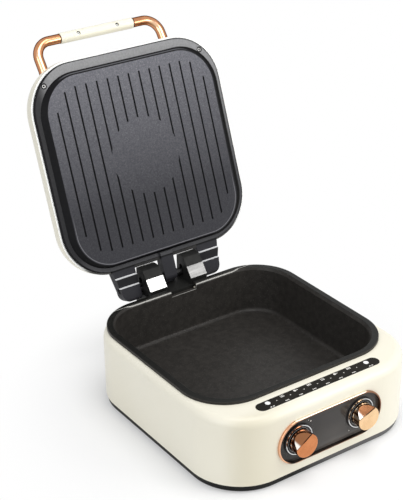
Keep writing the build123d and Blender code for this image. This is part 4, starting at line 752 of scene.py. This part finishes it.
# %% Screw heads
def ringed_screw(name, centre, dark_radius, head_radius, tones):
    """Zinc with painted shade in its middle and on its rim, for a pair of screws."""
    finish = Finish(name, tones, 500.0, (0.3, 0.45), 600.0, 1500.0, 0.00003, metallic=1.0)
    tree = finish.tree
    radius = distance_to(tree, centre)
    # Painted shade in the recess at the middle and along the rim of the head.
    black = (0.012, 0.012, 0.012)
    finish.shade(black, graded(tree, radius, dark_radius, dark_radius + 0.3 * MM, 1.0, 0.0))
    finish.shade(black, graded(tree, radius, head_radius - 0.9 * MM, head_radius - 0.6 * MM))
    return finish


bezel_screw = ringed_screw("bezel_screw", bezel_head, 1.3 * MM, 3.4 * MM,
                           ((0.30, 0.30, 0.30), (0.22, 0.22, 0.22)))
grip_screw = ringed_screw("grip_screw", grip_head, 0.7 * MM, 3.0 * MM,
                          ((0.62, 0.62, 0.60), (0.50, 0.50, 0.48)))
special_finishes = {"left_knob_cap": left_cap, "right_knob_cap": right_cap,
                    "control_trim": trim_copper, "bezel_screws": bezel_screw,
                    "grip_screws": grip_screw, "lid_shell": ivory_lid,
                    "bottom_cover": skirt_black, "arm_cover_right": shaded_arm_steel,
                    "pin_collars": blackened, "hinge_pin": blackened}

# %% [markdown]
# ## Gloss blacks and small fittings
#
# The control panel is a charcoal glass-like window and the knobs sit on black glossy discs,
# so both mirror the knobs. A low roughness over a dark base does that. The window is painted
# darker towards its left end, as painted shade, and lighter towards its foot, as painted light.

# %% Gloss blacks
panel_gloss = Finish(
    "charcoal_window", ((0.046, 0.042, 0.040), (0.054, 0.049, 0.046)), 12.0, (0.08, 0.12), 80.0,
    600.0, 0.00001).set(specular_ior_level=0.3)
# Painted light: the window lighter towards its foot.
panel_gloss.shade((0.070, 0.064, 0.060), panel_gloss.ramp("Z", 66.0, 40.0))
panel_gloss.shade((0.125, 0.115, 0.107), panel_gloss.ramp("Z", 40.0, 28.0, 0.0, 0.8))
# Painted shade: the window darker towards its left end.
panel_gloss.shade((0.018, 0.017, 0.016), panel_gloss.ramp("X", -75.0, 20.0, 0.8, 0.0))
finishes["panel_gloss"] = panel_gloss
finishes["knob_black"] = Finish(
    "knob_gloss", ((0.008, 0.007, 0.007), (0.013, 0.011, 0.011)), 60.0, (0.08, 0.14), 120.0,
    600.0, 0.00001).set(specular_ior_level=0.35)
finishes["strip_gloss"] = Finish(
    "strip_window", ((0.008, 0.007, 0.005), (0.013, 0.011, 0.008)), 30.0, (0.28, 0.36), 120.0,
    600.0, 0.00001).set(specular_ior_level=0.07)

# %% Small fittings
for slot, *numbers in (
        ("switch_case", "switch_case", ((0.02, 0.02, 0.02), (0.035, 0.035, 0.034)), 40.0,
         (0.45, 0.6), 200.0, 1200.0, 0.00004),
        ("lens_white", "milky_lens", ((0.92, 0.92, 0.9), (0.86, 0.86, 0.85)), 300.0,
         (0.25, 0.35), 300.0, 900.0, 0.00001),
        ("board_green", "solder_mask", ((0.01, 0.07, 0.03), (0.014, 0.1, 0.045)), 150.0,
         (0.35, 0.5), 300.0, 900.0, 0.00003),
        ("bead_ceramic", "bead_ceramic", ((0.8, 0.77, 0.7), (0.7, 0.67, 0.6)), 250.0,
         (0.55, 0.7), 300.0, 900.0, 0.00005),
        ("fuse_sleeve", "glass_sleeve", ((0.78, 0.75, 0.66), (0.6, 0.57, 0.49)), 500.0,
         (0.7, 0.85), 300.0, 1400.0, 0.0001)):
    finishes[slot] = Finish(*numbers)

# %% Give every solid piece its finish
slot_of = {part["node"]: part["material_slot"] for part in frame["record"]["subparts"]}
for name, piece in nodes.items():
    for socket in piece.material_slots:
        finish = special_finishes.get(name, finishes[slot_of[name]])
        socket.material = finish.material
print("finishes:", len(finishes) + len(set(special_finishes.values())))

# %% [markdown]
# ## Printed marks and bright rings
#
# The function strip carries a row of small pictograms with a caption under each, the window
# has a faint scale round each knob, and each knob's disc has a second, thinner bright ring.
# They could be painted by a mask in the material, but marks that repeat are easier to space
# with Geometry Nodes: a tree holds the mark, a line or a circle gives the places, and the
# sizes are named inputs. The print is a layer less than a tenth of a millimetre thick.

# %% Geometry node helpers
class Rule:
    """A geometry tree with named sizes, which can be grown more than once."""

    def __init__(self, name, **sizes):
        self.group = bpy.data.node_groups.new(name, "GeometryNodeTree")
        self.sizes = sizes
        for label in sizes:
            kind = "NodeSocketInt" if label == "count" else "NodeSocketFloat"
            self.group.interface.new_socket(label, in_out="INPUT", socket_type=kind)
        self.group.interface.new_socket("geometry", in_out="OUTPUT",
                                        socket_type="NodeSocketGeometry")
        self.given = self.group.nodes.new("NodeGroupInput").outputs
        self.result = self.group.nodes.new("NodeGroupOutput")

    def add(self, kind, output, settings=None, **values):
        """Adds a node, fills its sockets with numbers or links, and returns one output."""
        node = self.group.nodes.new("GeometryNode" + kind)
        for name, value in (settings or {}).items():
            setattr(node, name, value)
        for label, value in values.items():
            feed(self.group, value, node.inputs[label.replace("_", " ")])
        return node.outputs[output]

    def vector(self, *parts):
        return combined(self.group, *parts)

    def block(self, width, depth, x=0.0, y=0.0):
        """Block one unit thick, for a mark that is scaled to size where it is placed."""
        cube = self.add("MeshCube", "Mesh", Size=(width, depth, 1.0))
        return self.add("Transform", "Geometry", Geometry=cube, Translation=(x, y, 0.0))

    def disc(self, radius, x=0.0, y=0.0):
        mesh = self.add("MeshCylinder", "Mesh", Vertices=20, Radius=radius, Depth=1.0)
        return self.add("Transform", "Geometry", Geometry=mesh, Translation=(x, y, 0.0))

    def joined(self, pieces):
        node = self.group.nodes.new("GeometryNodeJoinGeometry")
        for piece in reversed(pieces):
            self.group.links.new(piece, node.inputs["Geometry"])
        return node.outputs["Geometry"]

    def mark(self, *pieces):
        return self.add("GeometryToInstance", "Instances", Geometry=self.joined(pieces))

    def finished(self, geometry, finish):
        """Ends the tree: real faces with a material."""
        real = self.add("RealizeInstances", "Geometry", Geometry=geometry)
        coated = self.add("SetMaterial", "Geometry", Geometry=real, Material=finish.material)
        self.group.links.new(coated, self.result.inputs["geometry"])

    def grow(self, name, body, slot, **changes):
        """Runs the tree, keeps its result as a plain mesh and hands it to a body."""
        maker = bpy.data.objects.new("maker", bpy.data.meshes.new("maker"))
        bpy.context.scene.collection.objects.link(maker)
        modifier = maker.modifiers.new("grow", "NODES")
        modifier.node_group = self.group
        for item in self.group.interface.items_tree:
            if item.in_out == "INPUT":
                modifier[item.identifier] = changes.get(item.name, self.sizes[item.name])
        graph = bpy.context.evaluated_depsgraph_get()
        mesh = bpy.data.meshes.new_from_object(maker.evaluated_get(graph), depsgraph=graph)
        bpy.data.objects.remove(maker)
        piece = bpy.data.objects.new(name, mesh)
        bpy.context.scene.collection.objects.link(piece)
        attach(piece, body)
        print(name, "has", len(mesh.polygons), "faces and rides on", body)


white_print = Finish("white_print", ((0.86, 0.84, 0.80), (0.70, 0.67, 0.62)), 900.0,
                     (0.45, 0.6), 900.0, 1500.0, 0.00001)
faint_print = Finish("faint_print", ((0.085, 0.080, 0.075), (0.12, 0.115, 0.11)), 900.0,
                     (0.45, 0.6), 900.0, 1500.0, 0.00001)
print_depth = 0.08 * MM

# %% [markdown]
# ### Marks of the function strip
#
# Three pictograms take turns along the row: a steaming pan, a pan with its handle and three
# upright bars. They are drawn one unit wide and scaled where they are placed, so one number
# sets the size of the whole row. Each has a caption of three short bars in front of it and a
# small lamp dot to its right.

# %% Strip marks
strip_low, strip_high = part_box("function_strip")
strip_middle = (strip_low.y + strip_high.y) / 2
strip_marks = Rule(
    "strip_marks", count=6, pitch=22.3 * MM, first_x=-57.6 * MM, icon_width=7.4 * MM,
    icon_y=strip_middle + 5.2 * MM, caption_width=5.8 * MM, caption_depth=1.8 * MM,
    caption_y=strip_middle - 6.4 * MM, dot_radius=0.75 * MM, dot_y=strip_middle + 0.7 * MM,
    top=strip_high.z)
dot_shift, dot_count = 11.6 * MM, 7
given = strip_marks.given


def row_of(rule, mark, first_x, y, width, depth, count):
    """Copies of a mark along the strip, scaled to their width and depth."""
    line = rule.add("MeshLine", "Mesh", Count=count, Offset=rule.vector(rule.given["pitch"]),
                    Start_Location=rule.vector(first_x, y, rule.given["top"]))
    return rule.add("InstanceOnPoints", "Instances", Points=line, Instance=mark,
                    Pick_Instance=True, Scale=rule.vector(width, depth, print_depth))


block, disc = strip_marks.block, strip_marks.disc
steaming_pan = strip_marks.mark(block(0.8, 0.16, 0, -0.24),
                                *(block(0.12, 0.3, x, 0.1) for x in (-0.27, 0, 0.27)))
handled_pan = strip_marks.mark(disc(0.27, -0.18), block(0.42, 0.13, 0.28))
bars = strip_marks.mark(*(block(0.2, 0.5, x) for x in (-0.32, 0, 0.32)))
pictograms = strip_marks.joined([steaming_pan, handled_pan, bars])
caption = strip_marks.mark(*(block(0.26, 0.9, x) for x in (-0.36, 0, 0.36)))
dot = strip_marks.mark(disc(1.0))
dot_start = calculated(strip_marks.group, "SUBTRACT", given["first_x"], dot_shift)
strip_marks.finished(strip_marks.joined([
    row_of(strip_marks, pictograms, given["first_x"], given["icon_y"], given["icon_width"],
           given["icon_width"], given["count"]),
    row_of(strip_marks, caption, given["first_x"], given["caption_y"], given["caption_width"],
           given["caption_depth"], given["count"]),
    row_of(strip_marks, dot, dot_start, given["dot_y"], given["dot_radius"],
           given["dot_radius"], dot_count)]), white_print)
strip_marks.grow("strip_marks", "base", "lens_white")

# %% [markdown]
# Each indicator lamp has a caption too, in front of its lens: two short bars. One mark and a
# line of two places are enough, one lens apart.

# %% Lens captions
lens_left, lens_right = [sum(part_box("indicator_lens_" + side), Vector()) / 2
                         for side in ("left", "right")]
lens_captions = Rule(
    "lens_captions", first_x=lens_left.x + 0.6 * MM, y=lens_left.y - 9.6 * MM,
    pitch=lens_right.x - lens_left.x, width=6.4 * MM, depth=1.9 * MM, top=strip_high.z)
lens_caption = lens_captions.mark(lens_captions.block(0.36, 0.9, -0.32),
                                  lens_captions.block(0.36, 0.9, 0.32))
given = lens_captions.given
lens_captions.finished(row_of(lens_captions, lens_caption, given["first_x"], given["y"],
                              given["width"], given["depth"], 2), white_print)
lens_captions.grow("lens_captions", "base", "lens_white")

# %% [markdown]
# ### Scale round the knobs
#
# Every dial has its scale printed on the window: faint ticks on most of a circle, with the
# lowest sixth left open. The ticks are laid on a circle in the floor plane, each one turned to
# point away from the middle, and the whole circle is then stood up and moved to its knob.

# %% Dial scales
panel_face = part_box("control_panel")[0].y


def stood_up(rule, geometry):
    """Turns a flat drawing to face the front and moves it to a knob's axis."""
    place = rule.vector(rule.given["x"], rule.given["face_y"], knob_z)
    return rule.add("Transform", "Geometry", Geometry=geometry, Translation=place,
                    Rotation=(math.radians(90), 0.0, 0.0))


def outward(rule):
    """Turn that points a mark away from the middle of its circle."""
    turn = rule.group.nodes.new("FunctionNodeAlignRotationToVector")
    turn.axis = "X"
    rule.group.links.new(rule.add("InputPosition", "Position"), turn.inputs["Vector"])
    return turn.outputs["Rotation"]


def above_gap(rule, share):
    """True on the part of a circle above a share of its radius."""
    height = part_of(rule.group, rule.add("InputPosition", "Position"), "Y")
    level = product(rule.group, rule.given["radius"], share)
    test = filled(rule.group, "FunctionNodeCompare", height, level, operation="GREATER_THAN")
    return test.outputs["Result"]


scale = Rule("dial_scale", count=24, radius=26.4 * MM, x=0.0, face_y=panel_face)
circle = scale.add("MeshCircle", "Mesh", Vertices=scale.given["count"],
                   Radius=scale.given["radius"])
tick = scale.mark(scale.block(1.0, 1.0))
ticks = scale.add("InstanceOnPoints", "Instances", Points=circle, Instance=tick,
                  Selection=above_gap(scale, -0.72), Rotation=outward(scale),
                  Scale=(1.3 * MM, 0.35 * MM, print_depth))
scale.finished(stood_up(scale, ticks), faint_print)
for side, x in (("left", -knob_x), ("right", knob_x)):
    scale.grow(side + "_dial_scale", "base", "lens_white", x=x)

# %% [markdown]
# Three small dots stand out on the scales in white: two at the upper right of the left knob,
# where its highest setting is, and one at the lower left of the right knob, at its zero.

# %% Setting dots
for name, x, up_x, up_z, radius in (("high_dot", -knob_x, 20.3, 19.8, 1.0),
                                    ("next_dot", -knob_x, 16.4, 22.6, 0.6),
                                    ("zero_dot", knob_x, -17.4, -22.4, 0.7)):
    dot_rule = Rule(name, x=x, face_y=panel_face, radius=radius * MM)
    size = dot_rule.vector(dot_rule.given["radius"], dot_rule.given["radius"], print_depth)
    flat_dot = dot_rule.add("Transform", "Geometry", Geometry=dot_rule.disc(1.0), Scale=size,
                            Translation=(up_x * MM, up_z * MM, 0.0))
    dot_rule.finished(stood_up(dot_rule, flat_dot), white_print)
    dot_rule.grow(name, "base", "lens_white")

# %% [markdown]
# ### Inner rings of the knob discs
#
# The disc under each knob has a chrome ring near its edge, which is a solid piece, and a finer
# one nearer the cap. A circle swept along a circle makes it, and it turns with its knob.

# %% Inner rings
satin_line = Finish("satin_line", ((0.42, 0.41, 0.40), (0.34, 0.33, 0.32)), 200.0, (0.4, 0.5),
                    400.0, 900.0, 0.00001)
disc_face = panel_face - 2.5 * MM
ring = Rule("inner_ring", x=0.0, face_y=disc_face, radius=17.5 * MM, wire=0.2 * MM)
path = ring.add("CurvePrimitiveCircle", "Curve", Resolution=96, Radius=ring.given["radius"])
wire = ring.add("CurvePrimitiveCircle", "Curve", Resolution=10, Radius=ring.given["wire"])
ring.finished(stood_up(ring, ring.add("CurveToMesh", "Mesh", Curve=path, Profile_Curve=wire)),
              satin_line)
for side, x in (("left", -knob_x), ("right", knob_x)):
    ring.grow(side + "_inner_ring", side + "_knob", "chrome_ring", x=x)

# %% [markdown]
# ## Soft lips over the hinge arms
#
# Above each hinge arm a narrow black lip on the bezel's rear edge closes the slit that the arm
# needs, as a dark piece that stands for the shade in that slit. It is a strip about three
# millimetres thick with softened corners, and it ends outside the circle of the arm's crest. An
# outline that is pulled along X makes it: bmesh joins the rings of points and closes both ends.

# %% Arm lips
bezel_back = 171.6 * MM
lip_back = 175.65 * MM
lip_low_z, lip_high_z = 115.5 * MM, 118.4 * MM
arm_low, arm_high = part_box("hinge_arm_right")
lip_start, lip_end = arm_low.x - 10.9 * MM, arm_high.x + 4.9 * MM
soft = 0.25 * MM
outline = [(bezel_back - 0.4 * MM, lip_low_z), (bezel_back - 0.4 * MM, lip_high_z),
           (lip_back - 3 * soft, lip_high_z), (lip_back - soft, lip_high_z - soft),
           (lip_back, lip_high_z - 3 * soft), (lip_back, lip_low_z + soft),
           (lip_back - soft, lip_low_z)]
opening = closing.inverted()
shape = bmesh.new()
for side in (-1, 1):
    rings = [[shape.verts.new(opening @ Vector((side * x, y, z))) for y, z in outline]
             for x in (lip_start, lip_end)]
    count = len(outline)
    for i in range(count):
        shape.faces.new([rings[0][i], rings[0][(i + 1) % count], rings[1][(i + 1) % count],
                         rings[1][i]])
    shape.faces.new(rings[0])
    shape.faces.new(rings[1])
bmesh.ops.recalc_face_normals(shape, faces=shape.faces)
lip_mesh = bpy.data.meshes.new("arm_lips")
shape.to_mesh(lip_mesh)
shape.free()
arm_lips = bpy.data.objects.new("arm_lips", lip_mesh)
bpy.context.scene.collection.objects.link(arm_lips)
lip_mesh.materials.append(finishes["rubber"].material)
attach(arm_lips, "lid")
print("arm lips have", len(lip_mesh.polygons), "faces")
